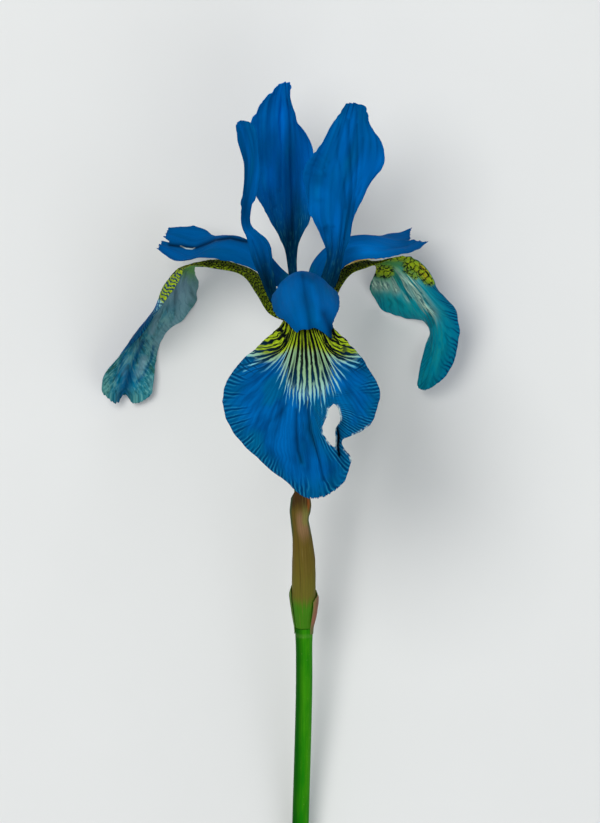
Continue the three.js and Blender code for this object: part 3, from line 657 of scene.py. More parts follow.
fallLeft = dict(
    stations=[
        [[-2.3, 1.3, -3], [-3.1, 1.1, -1.7], [-3.8, 0.8, -0.4]],
        [[-5.5, 4.2, -6.2], [-6.6, 3.7, -3.5], [-7.5, 2.6, -1]],
        [[-7.7, 8.1, -8.6], [-9.2, 7.7, -5], [-10.2, 6.8, -1.4]],
        [[-10.3, 11.7, -10.5], [-11.9, 11.4, -6.3], [-13, 10.6, -2.2]],
        [[-15, 13.8, -13], [-16.5, 13, -8.2], [-17.2, 12.2, -4]],
        [[-20.5, 14.6, -16], [-21.6, 13.5, -10.5], [-22, 12.8, -5.6]],
        [[-23.8, 12.5, -22], [-26.2, 12.8, -13], [-26, 12.1, -5.2]],
        [[-22.7, 8.4, -29.2], [-29.8, 9.2, -16], [-28, 9.2, -5]],
        [[-25.3, 3.5, -29.1], [-32.3, 3.5, -18.5], [-31, 4.2, -9]],
        [[-29.3, -1.3, -28.9], [-36.1, -1.3, -21], [-34.5, -1.1, -14]],
        [[-32.1, -6.4, -28.8], [-38.3, -6.4, -24], [-40.5, -6.2, -19]],
        [[-32.8, -11.7, -27.5], [-39.4, -11.7, -26.3], [-44.2, -11.4, -22]],
        [[-33.9, -17.4, -26.8], [-39.4, -17.6, -27.3], [-44.2, -16.9, -23.5]],
    ],
    rows=200, columns=112, baseShare=0.4, baseRows=0.35, seed=23, round=0.03, notch=0.03, notchWidth=0.22,
    fringe=0.006, fringeRate=8.0, wander=0.3, ruffle=(0.5, 4, 2.2), pucker=0.18, flute=0.35, ribs=0.06,
    furrow=0.25, shoulder=25.5, fanScale=0.72, feather=0.5,
    # In each fold the last number is painted shade, and painted light where it is negative.
    folds=[
        ([(-35.5, -4), (-37.5, -10), (-39.8, -15.5)], 0.9, 0.3, 0.2),
        ([(-24.5, 10), (-26.5, 4), (-29, -2)], 0.5, 0.15, -0.08),
        # This fold has no height: it is only painted shade over a strip.
        ([(-33.2, 2.2), (-35.8, -1.4), (-38.2, -4)], 1.5, 0, 0.42),
    ],
    upperWashes=[
        ([(-24, 13.4), (-26.6, 12), (-28.8, 10), (-30.8, 7), (-31.6, 5)], 3.4, 8, 6),
        ([(-32, 4.6), (-32.8, 2.6)], 1.5, 3, -5),
    ],
    washes=[
        ("light", [(-25.4, 6.4), (-26.4, 4.6), (-29, 0.2), (-31.6, -4)], 2.6, 0.75),
        ("light", [(-29.5, 6.5), (-31.9, 3.3), (-33.6, -1.5)], 0.9, 0.8),
        ("light", [(-35.2, -7.4), (-36.4, -10.6)], 0.9, 0.9),
        ("light", [(-38.9, -7.4), (-39.8, -10.4)], 0.8, 0.7),
        ("light", [(-36.2, -3.4), (-37.4, -5.4)], 0.8, 0.6),
        ("light", [(-33.6, -12), (-33.2, -15)], 0.7, 0.5),
        ("blue", [(-35.4, -3.4), (-37.5, -7.8), (-38.6, -11)], 0.42, 0.9),
        ("blue", [(-38.6, -11), (-39.8, -14.4), (-40.5, -18)], 1.6, 1),
        ("blue", [(-33.2, -4.6), (-33.5, -7), (-34.4, -9), (-35.2, -10.8), (-36.8, -12.6)], 0.34, 0.75),
        ("blue", [(-39.6, -6), (-40.4, -9), (-41.6, -12)], 0.34, 0.6),
    ],
)

fallRight = dict(
    stations=[
        [[3.8, 0.8, -0.4], [3.1, 1.1, -1.7], [2.3, 1.3, -3]],
        [[6.6, 4.6, -1], [5.7, 5.3, -3.6], [4.6, 5.7, -6]],
        [[8.4, 8.4, -1.5], [7.5, 9.2, -5], [6.4, 9.9, -8.4]],
        [[10.8, 11.4, -3], [9.9, 12.5, -7], [9, 13.3, -10.8]],
        [[14.7, 12.9, -5], [14.1, 13.6, -10], [13.2, 14.3, -14.5]],
        [[19.1, 14.5, -7.2], [18, 13.9, -13], [16.1, 12.8, -20.5]],
        [[23.3, 15, -7.8], [21.1, 12.5, -14.5], [14.5, 8.1, -26.8]],
        [[27.3, 12.1, -8], [23.8, 9, -16], [16.7, 4.4, -29.6]],
        [[30.4, 7.9, -10.5], [26.6, 5.3, -18], [21.8, 2.3, -29.2]],
        [[33.7, 3.5, -14], [29.3, 0.9, -20.3], [26.6, 0.4, -27.8]],
        [[34.6, -1.8, -17.5], [29.9, -4, -22.2], [27.5, -3.1, -27]],
        [[33.9, -7.5, -20], [28.8, -9.2, -23.6], [26.2, -9, -26.2]],
        [[31, -12.3, -21.5], [27.3, -14.3, -24], [24.9, -13.6, -25.6]],
    ],
    rows=200, columns=112, baseShare=0.4, baseRows=0.35, seed=37, round=0.02,
    fringe=0.005, fringeRate=8.0, wander=0.3, ruffle=(0.5, 4, 0.9), pucker=0.16, flute=0.3, ribs=0.06,
    furrow=0.2, shoulder=21.5, fanScale=0.74, feather=0.22,
    # In each fold the last number is painted shade, and painted light where it is negative.
    folds=[
        ([(20.5, 12), (24, 5), (27.5, -1), (28.5, -8)], 0.6, 0.15, -0.1),
        ([(22.5, 9), (25.5, 2), (27, -4)], 0.5, -0.12, 0.12),
        ([(19.2, 6), (19.8, 5.1), (19.4, 4.4)], 0.25, -0.1, 0.4),
    ],
    washes=[
        ("gold", [(16.0, 12.4), (18.6, 12)], 1.7, 1), ("gold", [(15.8, 14.8), (19, 15.2), (23, 15)], 1.0, 1),
        ("gold", [(23.6, 13.8), (26, 12.4), (28.2, 10.4)], 1.8, 1),
        ("gold", [(22.6, 12.2), (25, 10.6)], 0.9, 0.6),
        ("light", [(20.4, 11.4), (20.8, 8.2)], 1.1, 0.85), ("light", [(21.6, 10.8), (23.6, 6.4)], 0.9, 0.95),
        ("light", [(23.4, 10.6), (25.2, 7.6), (27, 4.8), (28.2, 2.8), (28.3, 0.6)], 1.2, 1),
        ("light", [(15.4, 9.2), (18.6, 8.8)], 1.1, 0.95), ("light", [(28.4, -1), (28.2, -5)], 0.8, 0.3),
        ("blue", [(29.6, 8.4), (33, 4), (35, -1.5), (34.2, -7.5), (31.6, -12)], 2.4, 1),
    ],
)


# The colours of a fall: its patterned upper face, then the underside from the arch to the tip. The torn
# tone is the pale torn rim of a fall, and it also paints the glints on the other petals as painted
# highlights.
fallTones = palette(
    navy=(0, 34, 76), deep=(0, 64, 118), middle=(0, 84, 147), bright=(0, 98, 172), teal=(0, 88, 126),
    tealLight=(40, 134, 164), ink=(6, 10, 12), inkSoft=(4, 54, 84), yellow=(112, 138, 16),
    yellowBright=(162, 184, 34), olive=(78, 106, 6), rust=(196, 120, 24), pale=(130, 166, 124),
    white=(138, 186, 186), tip=(44, 148, 182), torn=(176, 196, 196), petalSheen=(90, 150, 220),
)

# Under a fall, folds sets how strongly soft folds are painted in light and shade.
undersideLeft = dict(
    palette(arch=(80, 128, 58), upper=(94, 124, 138), lower=(20, 122, 142), tip=(4, 118, 150),
            light=(118, 156, 168), streak=(112, 172, 166), vein=(0, 70, 80), groove=(0, 68, 120),
            margin=(84, 132, 92), stripeTone=(0, 66, 80)),
    upperFrom=8.0, lowerFrom=16.0, veins=0.08, lightVeins=0.04, stripes=0.5, plume=0.9, lattice=0.8,
    rays=0.6, rayCount=6, rayLines=0.3, folds=2.2,
)

undersideRight = dict(
    palette(arch=(78, 128, 54), upper=(62, 132, 88), lower=(0, 144, 156), tip=(0, 130, 152),
            light=(176, 208, 186), streak=(30, 146, 146), vein=(0, 74, 86), groove=(0, 104, 142),
            margin=(8, 116, 138), stripeTone=(0, 40, 88)),
    upperFrom=5.0, lowerFrom=8.5, veins=0.08, lightVeins=0.5, stripes=1.0, plume=0.4, lattice=0.0,
    rays=1.0, rayCount=9, rayLines=0.75, folds=0.6,
)

rimLane = 10.9
stripesRound = 21


def fallFinish(name, back, middle):
    finish, tones = Finish(name), fallTones
    cells, coats, noise, step = finish.cells, finish.coats, finish.noise, finish.step
    lane, run, spacing = finish.trait("fan")
    depth, across, margin = finish.trait("sheet")
    pale, yellow, net = finish.trait("signal")
    shade, torn, face = finish.trait("look")

    # The main veins lie on whole lanes and fork twice on their way out. Every other one is thin and
    # broken, and ends where they crowd.
    wobble = noise(lane * 0.6, run * 0.24) - 0.5
    side = step(abs(lane), 7.6, 9.4)
    bend = noise(lane * 0.7, run * 0.6, 23.0, 1.0) - 0.5
    path = lane + wobble * 0.75 + bend * side * (step(yellow, -2.5, 1.0) * 1.2 + 0.4)
    number = path.maths("ROUND")
    chance = finish.dice(number)
    forkOne = step(run, chance * 6 + 9, chance * 6 + 15) * 0.25
    forkTwo = step(run, chance * 5 + 19, chance * 5 + 25) * 0.12
    gap = abs(abs(abs(path - number) - forkOne) - forkTwo) * spacing
    swell = noise(lane * 2.6, run * 0.8, 6.0) - 0.5
    breadth = 0.32 - side * 0.1 - step(run, 9.0, 17.0) * 0.09 + swell * 0.22
    odd = (number * 0.5).offWhole() * 2
    breadth = breadth.maths("MINIMUM", spacing * 0.36) * (1.2 - odd * 0.4)
    room = step(spacing, 0.4, 0.9)
    broken = step(noise(number * 3.1, run * 0.2, 11.0, 1.0), 0.3, 0.4)
    vein = (1 - step(gap, breadth * 0.5, breadth * 1.3)) * (1 - odd * (1 - room * broken))
    rim = 1 - step(abs(abs(lane + wobble) - rimLane) * spacing, 0.1, 0.3)
    vein = vein.maths("MAXIMUM", rim * step(run, 3.0, 6.0) * step(run, 19.0, 13.0) * face)

    # Short dark dashes lie between the veins. A net covers the haft and the shoulders, and bars take its
    # place where the upper face has a gold wash.
    dashOff = (path * 2.0 + 0.5).offWhole() * spacing * 0.5
    dashes = step(noise(lane * 2.1, run * 0.8, 4.0), 0.54, 0.62)
    dash = (1 - step(dashOff, 0.05, 0.14)) * dashes * room * step(pale, 5.0, 10.0)
    netLine = 1 - step(cells(finish.point(path * 0.42, run * 0.17)), 0.04, 0.11)
    barred = step(net, 1.2, 1.8) * face
    barAt = (depth - abs(across) * 0.25) * 0.95 + wobble * 2.4
    bar = 1 - step(barAt.offWhole() + (swell - 0.1) * 0.3, 0.1, 0.26)
    vein = vein * (1 - barred)
    netLine = netLine * (1 - barred) + bar * barred
    hafted = step(depth, 2.5, -0.5)
    haftLine = 1 - step(cells(finish.point(across * 1.7 + wobble, depth * 1.1)), 0.1, 0.24)

    streak = noise(lane * 1.1, run * 0.09, 0.0, 3.0, 0.6)
    broad = noise(lane * 0.3, run * 0.1, 7.0)
    fine = noise(lane * 5.0, run * 0.5, 2.0)
    slant = (depth - abs(across) * 1.3) * 0.85
    around = across.maths("ARCTAN2", depth - middle) * stripesRound
    stripeAt = around * face + slant * (1 - face) + wobble * 1.6
    stripeOff = stripeAt.offWhole()
    stripeEnd = margin + (finish.dice(stripeAt.maths("ROUND"), 0.5) - 0.5) * 4 + wobble * 6
    stripe = (1 - step(stripeOff, 0.08, 0.34)) * (1 - step(stripeEnd, 0.4, 4.2))
    lightStripe = step(stripeOff, 0.3, 0.46) * (1 - step(stripeEnd, 0.2, 3.2))
    rimShare = 1 - step(margin + (streak - 0.5) * 5, 0.4, 5.0)

    # The pale signal ends in ragged streaks. At the sides it breaks up into thin ones.
    ragged = (noise(lane * 2.4, run * 0.1, 9.0, 2.0, 0.6) - 0.5) * 9
    between = step(gap, 0.06, 0.4)
    thin = side * step(yellow, -2.2, -4.0)
    palePart = step(pale + ragged - thin - (1 - between) * 4, -0.2, 1.6)
    sliver = step(noise(lane * 2.6, run * 0.12, 3.0), 0.48, 0.55)
    palePart = palePart * (1 - thin * (1 - sliver))
    blue = coats(
        tones, "deep", (step(streak, 0.36, 0.64), "middle"), (step(broad, 0.45, 0.66) * 0.7, "bright"),
        (step(broad, 0.46, 0.3) * 0.65, "teal"), (rimShare * 0.6, "teal"), (stripe * 0.75, "navy"),
        (lightStripe * 0.55, "tealLight"), (thin * step(pale, -4.0, 1.0) * 0.25, "navy"))
    gold = coats(tones, "yellow", (step(fine, 0.35, 0.65), "yellowBright"),
                 (step(run, 1.5, -8.0) * 0.3, "olive"))
    light = coats(
        tones, "pale", (step(pale, 9.0, 2.0), "white"), (step(pale + ragged, 4.2, 0.8) * 0.75, "tip"),
        (thin * 0.45, "tip"), (step(yellow + ragged * 0.35, -1.2, 1.2), gold))
    mark = vein.maths("MAXIMUM", netLine * net.maths("MINIMUM", 1.0)).maths("MAXIMUM", dash * 0.9)
    inkShare = mark * palePart.maths("MAXIMUM", vein * thin * step(pale, -2.0, 2.0) * 0.8)
    haft = coats(tones, gold, (haftLine, "ink"))
    upper = coats(
        tones, blue, (palePart, light), (inkShare, coats(tones, "ink", (step(run, 8.0, 17.0), "inkSoft"))),
        (vein * (1 - palePart) * 0.2, "navy"), (hafted, haft), (torn, "torn"))

    # Underneath, the traits of the signal are shares of light, gold and blue instead.
    place = depth + wobble * 4
    low = step(place, back["lowerFrom"] - 3, back["lowerFrom"] + 4)
    past = step(place, back["upperFrom"] - 3, back["upperFrom"] + 3)
    ended = step(place, back["lowerFrom"] + 7, back["lowerFrom"] + 16)
    turn = across.maths("ARCTAN2", depth + 4.0)
    ray = noise(turn * back["rayCount"], run * 0.05, 17.0)
    patchy = noise(across * 0.5, depth * 0.22, 5.0, 3.0, 0.6)
    plume = noise(lane * 0.8, run * 0.14, 14.0, 2.0, 0.6)
    flecks = noise(lane * 2.4, run * 0.7, 31.0, 2.0, 0.6)
    laced = (1 - step(stripeEnd, 2.0, 5.5)) * low * back["lattice"]
    rays = step(ray, 0.43, 0.53) * back["rays"] + (1 - back["rays"])
    rayLine = 1 - step((turn * 11 + wobble * 3).offWhole(), 0.05, 0.2)
    under = coats(
        back, "arch", (past, "upper"), (low, "lower"), (ended, "tip"),
        (step(patchy, 0.48, 0.66) * 0.6 * low, "streak"),
        (step(plume, 0.46, 0.36) * back["plume"] * 0.6 * low, "streak"),
        (step(plume, 0.52, 0.62) * back["plume"] * low, "vein"), (rimShare * 0.35, "margin"),
        (step(flecks, 0.46, 0.38) * laced * 0.7, "streak"), (step(flecks, 0.53, 0.6) * laced * 0.8, "vein"),
        (pale * rays, "light"), (pale * rayLine * back["rayLines"], "vein"))
    # Soft folds are painted in light and shade over the underside, except its lower part, as strongly as its
    # folds setting.
    under = finish.lit(under, (ray - 0.5) * back["folds"] * (1 - low) + 1)
    dim = step(pale, 0.15, 0.7)
    veined = vein * ((1 - dim) * back["veins"] + dim * back["lightVeins"])
    backMesh = cells(finish.point(across * 0.36 + wobble * 2, depth * 0.8 + swell * 0.9))
    warm = coats(back, gold, (step(patchy, 0.54, 0.7) * 0.4, tones["rust"]),
                 (step(yellow, 1.0, 0.6) * 0.6, "arch"))
    netted = coats(tones, warm, (1 - step(backMesh, 0.05, 0.16), "ink"))
    under = coats(
        back, under, (net * 0.8, "groove"), (veined * step(depth, 1.0, 4.0), "vein"),
        (stripe * net.maths("MAXIMUM", low * back["stripes"] * 0.4), "stripeTone"),
        (step(yellow + ragged * 0.05, 0.25, 0.6), netted), (hafted, haft))

    colour = finish.lit(finish.blend(face, under, upper), shade * ((fine - 0.5) * 0.16 + 1))
    height = vein * -0.35 + fine * 0.35 + streak * 0.6
    roughness = 0.62 + (streak - 0.5) * 0.2 - inkShare * 0.08
    return finish.close(colour, roughness, finish.bump(height, 0.00012, 0.45), Specular_IOR_Level=0.03,
                        Specular_Tint=tones["petalSheen"])


# Faces inside the torn parts go, and the points beside them move onto the outline of the tear.
def tearFall(blade, outlines):
    sheet = blade["sheet"]
    x, y = sheet[..., 0], sheet[..., 1]
    low = blade["u"] > 0.5
    inside = np.zeros(x.shape, bool)
    edge = np.full(x.shape, far)
    nearest = sheet[..., :2].copy()
    for outline in outlines:
        inside |= insideOutline(x, y, outline) & low
        for x0, y0, dx, dy, share in stretches(x, y, outline + outline[:1]):
            px, py = x0 + share * dx, y0 + share * dy
            gap = np.hypot(x - px, y - py)
            closer = gap < edge
            edge = np.where(closer, gap, edge)
            nearest[closer] = np.stack([px, py], axis=-1)[closer]
    lost = inside[:-1, :-1] & inside[:-1, 1:] & inside[1:, 1:] & inside[1:, :-1]
    beside, whole = np.zeros(x.shape, bool), np.zeros(x.shape, bool)
    for rows in (slice(0, -1), slice(1, None)):
        for columns in (slice(0, -1), slice(1, None)):
            beside[rows, columns] |= lost
            whole[rows, columns] |= ~lost
    onEdge = beside & whole & (edge < 0.6)
    sheet[onEdge, :2] = nearest[onEdge]
    edge[onEdge] = 0
    return ~lost, np.where(low, edge, 9)


# The sheet stays this far under the top of its solid.
headroom = 0.17


def makeFall(name, settings, back, middle):
    blade = growBlade(settings)
    lanes = fanLanes(blade)
    shade = creaseBlade(blade, lanes)
    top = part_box(name)[1][2] * 1000 - heart[2] - headroom
    blade["sheet"][..., 2] = np.minimum(blade["sheet"][..., 2], top)
    keep, torn = None, 0.0
    if "hole" in blade:
        keep, edge = tearFall(blade, [blade["hole"], blade["gash"]])
        rimNoise = ripple(blade["sheet"][..., 0] * 1.3, blade["sheet"][..., 1] * 1.3, 5)
        torn = (1 - smooth(edge, 0.12, 0.42)) * smooth(rimNoise, -0.1, 0.7)
        blade["margin"] = np.minimum(blade["margin"], edge)
    traits = fallTraits(blade, lanes, shade, torn)
    piece = thickenBlade(name + "_petal", blade, traits, backTraits(blade), keep)
    dress(piece, name, "fall", fallFinish(name + "_tissue", back, middle))


makeFall("fall_front", fallFront, undersideLeft, 19.0)
makeFall("fall_left", fallLeft, undersideLeft, 14.0)
makeFall("fall_right", fallRight, undersideRight, 14.0)
print("falls are made")


# The inner petals stand over the flower. The patches are painted light and shade: places where the sheet
# is painted darker or lighter, given by their middle seen from above, half width, half height, turn in
# degrees and strength, painted shade where positive and painted light where negative.
standardBack = dict(
    stations=[
        [[-1.5, 1.2, -3.2], [0, 1.3, -3.5], [1.5, 1.2, -3.2]],
        [[-2.9, 6.6, -3.8], [-1.5, 6.6, -4.5], [-0.2, 6.6, -3.8]],
        [[-3.3, 12.1, -3.8], [-2.4, 12.1, -4.7], [-1.3, 12.1, -3.6]],
        [[-4.4, 17.6, -2.8], [-2.6, 17.2, -4.4], [-0.9, 17.6, -2.6]],
        [[-7.7, 23.8, -0.6], [-3.1, 23.1, -4], [1.5, 23.3, -1]],
        [[-10.3, 28.6, 1], [-3.3, 28.8, -4], [2.2, 28.4, -1]],
        [[-11.7, 35, 2], [-3.5, 34.5, -4.5], [2.4, 34.1, -1.5]],
        [[-11.9, 41.1, 3], [-3.7, 40.7, -4], [1.5, 40, -1]],
        [[-11, 46, 4], [-3.7, 46.6, -2], [-1.2, 45.8, 1]],
        [[-8.6, 49.7, 5], [-4, 50.4, 1], [-2.6, 49.7, 3]],
        [[-6.2, 52.1, 6], [-4.2, 53.6, 4], [-2.7, 52.4, 5]],
    ],
    rows=200, columns=104, baseShare=0.3, baseRows=0.22, seed=41, round=0.0, wander=0.35, thick=0.28,
    ruffle=(0.5, 3, 1.4), pucker=0.12, flute=0.35, ribs=0.008, furrow=0.45, shoulder=0.0,
    # lift paints the whole petal lighter, as painted light.
    laneCount=11, lift=0.7, clawEnd=33.0,
    # In each fold the last number is painted shade, and painted light where it is negative.
    folds=[
        ([(-5.5, 53), (-5.8, 45), (-5.2, 38), (-5.5, 30)], 0.55, -0.3, 0.18),
        ([(-9.5, 44), (-10, 37), (-8, 31), (-6.5, 25)], 0.8, 0.3, -0.05),
        ([(-8.8, 34), (-7.6, 30), (-6.2, 26.5)], 0.5, -0.3, 0.14),
        ([(-1.4, 45), (-0.6, 38), (-0.4, 32), (-1.2, 26)], 0.9, -0.3, 0.16),
        ([(-3.3, 50), (-3.2, 42), (-3.3, 34), (-3, 27), (-2.7, 19)], 0.8, -0.2, 0.2),
    ],
    patches=[
        (-8.2, 33, 2.0, 4.0, -14, -0.8), (-2.6, 22, 2.6, 9, 0, 0.6), (-1.9, 34, 2.4, 10, 0, 0.55),
        (-9.5, 41, 2.0, 5, -8, 0.18), (-5.5, 51, 1.6, 5, 0, -0.14),
        (-4.7, 45, 0.8, 7, 4, -0.2), (-10.5, 33, 1.2, 10, 0, 0.2), (-2.4, 18.5, 1.8, 5.5, 0, 0.4),
        (0.6, 38.5, 1.6, 4, 0, 0.25),
    ],
)

standardLeft = dict(
    stations=[
        [[-3.7, 0.4, 0.4], [-2.9, 0.1, 1.7], [-2.2, -0.2, 3]],
        [[-7.2, 5.3, 2], [-6, 5.3, 3.6], [-4.8, 5.3, 5.4]],
        [[-9.2, 9.9, 4], [-7.7, 10.1, 5.4], [-6.4, 10.1, 7.2]],
        [[-11.2, 14.7, 5.2], [-9, 15, 7.2], [-6.8, 15, 9.4]],
        [[-12.2, 18.5, 5.4], [-10.1, 18.7, 8.6], [-7.9, 18.3, 11.5]],
        [[-13.4, 21.6, 5.6], [-12.3, 21.6, 9], [-11.2, 21.8, 12]],
        [[-13.6, 24.9, 5.4], [-12.3, 25.3, 10], [-11.1, 25.1, 13.5]],
        [[-13, 29.7, 5], [-11.7, 29.9, 11], [-10.3, 29.7, 17]],
        [[-13.1, 35.2, 5.5], [-11.2, 35.4, 13], [-9.5, 35.2, 20]],
        [[-14, 40.5, 8], [-11.9, 40.7, 14.5], [-9.7, 40.5, 20.5]],
        [[-14.4, 43.8, 12], [-13.4, 44.8, 15.5], [-10.8, 43.8, 18.5]],
    ],
    rows=200, columns=92, baseShare=0.42, baseRows=0.4, seed=53, round=0.0, wander=0.35, thick=0.28,
    ruffle=(0.4, 3, 0.7), pucker=0.16, flute=0.35, ribs=0.008, furrow=0.25, shoulder=0.0,
    laneCount=9, lift=0.0, clawEnd=22.0,
    # In each fold the last number is painted shade, and painted light where it is negative.
    folds=[
        ([(-12.5, 43), (-12.2, 36), (-12.6, 29)], 0.4, -0.2, 0.16),
        ([(-10.6, 18.5), (-8.5, 14), (-7.2, 9), (-5.2, 6)], 0.5, -0.28, 0.22),
        ([(-8.2, 17.5), (-7.4, 13), (-5.6, 8.5)], 0.4, 0.2, -0.06),
    ],
    patches=[
        (-11.4, 20.4, 1.6, 1.2, 0, -0.3), (-12.8, 25, 1.6, 4.5, 0, 0.5), (-12.6, 33, 1.2, 4, 0, 0.2),
        (-8.5, 10, 2.0, 5, 20, 0.42), (-5, 3, 2.4, 4, 0, 0.5), (-13.3, 38, 0.8, 6, 0, 0.16),
    ],
)

standardRight = dict(
    stations=[
        [[2.2, -0.2, 3], [2.9, 0.1, 1.7], [3.7, 0.4, 0.4]],
        [[3.3, 5.1, 5], [4.4, 5.1, 3.6], [5.5, 5.3, 2.6]],
        [[3.8, 9.7, 6.8], [5.7, 9.7, 4.8], [7.7, 9.9, 4.4]],
        [[5.1, 15, 8.6], [7, 15.2, 6], [9, 15.2, 6]],
        [[3.6, 19.6, 10.5], [7.5, 20, 6.6], [10.4, 19.6, 6.8]],
        [[1.1, 24.4, 13], [7.7, 24.6, 8], [11.4, 24.2, 8]],
        [[0.3, 29.7, 15.5], [8.1, 29.7, 9], [14.1, 29.5, 8.5]],
        [[0.3, 34.5, 17], [9.2, 35.2, 10.5], [18, 35, 9]],
        [[3.5, 40.3, 17.5], [10.3, 40.5, 13], [17.4, 40, 10.5]],
        [[7.3, 44.7, 17.5], [11, 44.9, 15], [14.5, 44.7, 13]],
        [[9.5, 48.1, 17.5], [11.5, 48.7, 16.5], [13.8, 47.8, 15]],
    ],
    rows=200, columns=110, baseShare=0.35, baseRows=0.28, seed=67, round=0.0, notch=0.008, notchAt=0.3,
    notchWidth=0.3, wander=0.35, thick=0.28, ruffle=(0.6, 3.5, 2.6), pucker=0.12, flute=0.4, ribs=0.008,
    # lift paints the whole petal lighter, as painted light.
    furrow=0.35, shoulder=0.0, laneCount=12, lift=0.14, clawEnd=24.0,
    # In each fold the last number is painted shade, and painted light where it is negative.
    folds=[
        ([(9.6, 45), (9.8, 38), (10.4, 31), (10.2, 25), (9.2, 19)], 0.38, -0.28, 0.34),
        ([(11.6, 44), (11.7, 37), (11.4, 30), (10.9, 24)], 0.3, -0.22, 0.3),
        ([(7.6, 44), (7.0, 38), (8.2, 32), (9.3, 26)], 0.45, -0.22, 0.16),
        ([(12.9, 41), (12.8, 35), (12.2, 29)], 0.35, -0.18, 0.12),
        ([(0.9, 37.2), (2.8, 36.4), (4.4, 34.6)], 0.3, -0.22, 0.1),
        ([(1.4, 35.6), (3, 35), (4.2, 33.4)], 0.28, -0.22, 0.1),
        ([(2.2, 38.4), (4, 37.6), (5.4, 36)], 0.28, -0.2, 0.08),
        ([(0.4, 33.8), (2.4, 33.2), (4.4, 33)], 0.6, -0.25, 0.1),
        ([(4.2, 21.4), (5.2, 22), (6.4, 21.8)], 0.4, -0.2, 0.1),
    ],
    patches=[
        (4.8, 20.8, 1.4, 1.2, 0, 0.35), (3.2, 27.6, 2.2, 4, -10, -0.42), (3.4, 31.4, 1.6, 1.1, -20, 0.3),
        (9.9, 24.5, 1.5, 5, 0, 0.24), (8.8, 26.8, 2.5, 3, 0, 0.1),
        (3.6, 27.3, 1.2, 0.5, 0, 0.25), (7.6, 10, 2.2, 6, -12, 0.5), (6.6, 17, 1.8, 4, -10, 0.22),
        (12.6, 24, 1.6, 5, -18, 0.2), (8.2, 46.5, 2.6, 1.6, 0, 0.2),
        (5.5, 37, 2.6, 5, 20, -0.2), (10.4, 36, 1.4, 10, 2, 0.04), (15, 35, 1.6, 6, 0, 0.25),
        (9.6, 48, 3.2, 2, 0, 0.2),
    ],
)

standardTones = palette(
    deep=(0, 72, 130), middle=(0, 88, 152), bright=(0, 100, 184), vein=(0, 52, 104), claw=(0, 34, 50),
    clawLight=(40, 92, 84), teal=(0, 92, 138), rim=(0, 74, 130), petalSheen=(70, 140, 220),
)


# Painted light and shade from the patches: a positive strength darkens and a negative one lightens.
def patchShade(blade):
    x, y = blade["sheet"][..., 0], blade["sheet"][..., 1]
    shade = np.zeros(x.shape)
    for cx, cy, wide, high, turn, dark in blade.get("patches", []):
        c, s = math.cos(math.radians(turn)), math.sin(math.radians(turn))
        dx, dy = (x - cx) * c + (y - cy) * s, (y - cy) * c - (x - cx) * s
        shade -= dark * np.exp(-(dx / wide) ** 2 - (dy / high) ** 2)
    return shade


def plainPetalFinish(name, tones, clawEnd, veinShare, gloss):
    finish = Finish(name)
    coats, noise, step = finish.coats, finish.noise, finish.step
    lane, run, spacing = finish.trait("fan")
    margin = finish.trait("sheet")[2]
    shade, torn, _ = finish.trait("look")
    wobble = noise(lane * 0.5, run * 0.16) - 0.5
    path = lane + wobble * 0.9
    number = path.maths("ROUND")
    chance = finish.dice(number)
    fork = step(run, chance * 14 + 14, chance * 14 + 26) * 0.25
    vein = 1 - step(abs(abs(path - number) - fork) * spacing, 0.05, 0.26)
    streak = noise(lane * 0.6, run * 0.07)
    broad = noise(lane * 0.2, run * 0.07, 3.0)
    fine = noise(lane * 6, run * 1.2, 5.0)
    clawPart = step(run + wobble * 5, clawEnd, clawEnd * 0.45)
    clawStreak = step(noise(lane * 2.4, run * 0.5, 8.0), 0.52, 0.66)
    # The pale torn tone paints the glints here, as painted highlights.
    colour = coats(
        tones, "deep", (step(streak, 0.2, 0.8), "middle"), (step(broad, 0.4, 0.72) * 0.55, "bright"),
        (step(broad, 0.46, 0.2) * 0.6, "teal"), ((1 - step(margin, 0.1, 1.4)) * 0.45, "rim"),
        (vein * veinShare, "vein"), (clawPart * 0.85, coats(tones, "claw", (clawStreak * 0.6, "clawLight"))),
        (step(torn, 0.3, 0.75), fallTones["torn"]))
    colour = finish.lit(colour, shade * ((fine - 0.5) * 0.12 + 1))
    height = vein * -0.2 + streak * 0.4 + fine * 0.3
    return finish.close(colour, 0.6 + (streak - 0.5) * 0.2, finish.bump(height, 0.00012, 0.35),
                        Specular_IOR_Level=gloss, Specular_Tint=tones["petalSheen"])


# A glint is a painted highlight, a short pale line on a petal: its line seen from above and its half width.
def makePetal(name, form, slot, settings, *look):
    blade = growBlade(settings)
    lanes = longLanes(blade, blade["laneCount"])
    # Lift paints light over the whole petal, then the folds and patches add painted shade and light.
    shade = blade.get("lift", 0) + creaseBlade(blade, lanes) + patchShade(blade)
    glint = np.zeros(shade.shape)
    for path, width in blade.get("glints", []):
        glint = np.maximum(glint, nearPath(blade, path, width))
    piece = thickenBlade(name + form, blade, bladeTraits(blade, lanes, shade, torn=glint))
    dress(piece, name, slot, plainPetalFinish(name + "_tissue", *look))


for name, settings in (("standard_back", standardBack), ("standard_left", standardLeft),
                       ("standard_right", standardRight)):
    makePetal(name, "_petal", "standard", settings, standardTones, settings["clawEnd"], 0.07, 0.0)
print("standards are made")

armCrest = dict(rows=150, columns=92, baseShare=0.3, baseRows=0.25, ruffle=(0.3, 3, 1.0), round=0.0,
                teeth=5, toothDepth=0.01, shoulder=0.0, thick=0.34, thin=0.14, laneCount=7, wander=0.25,
                pucker=0.14, flute=0.2, ribs=0.01, keel=0.1)

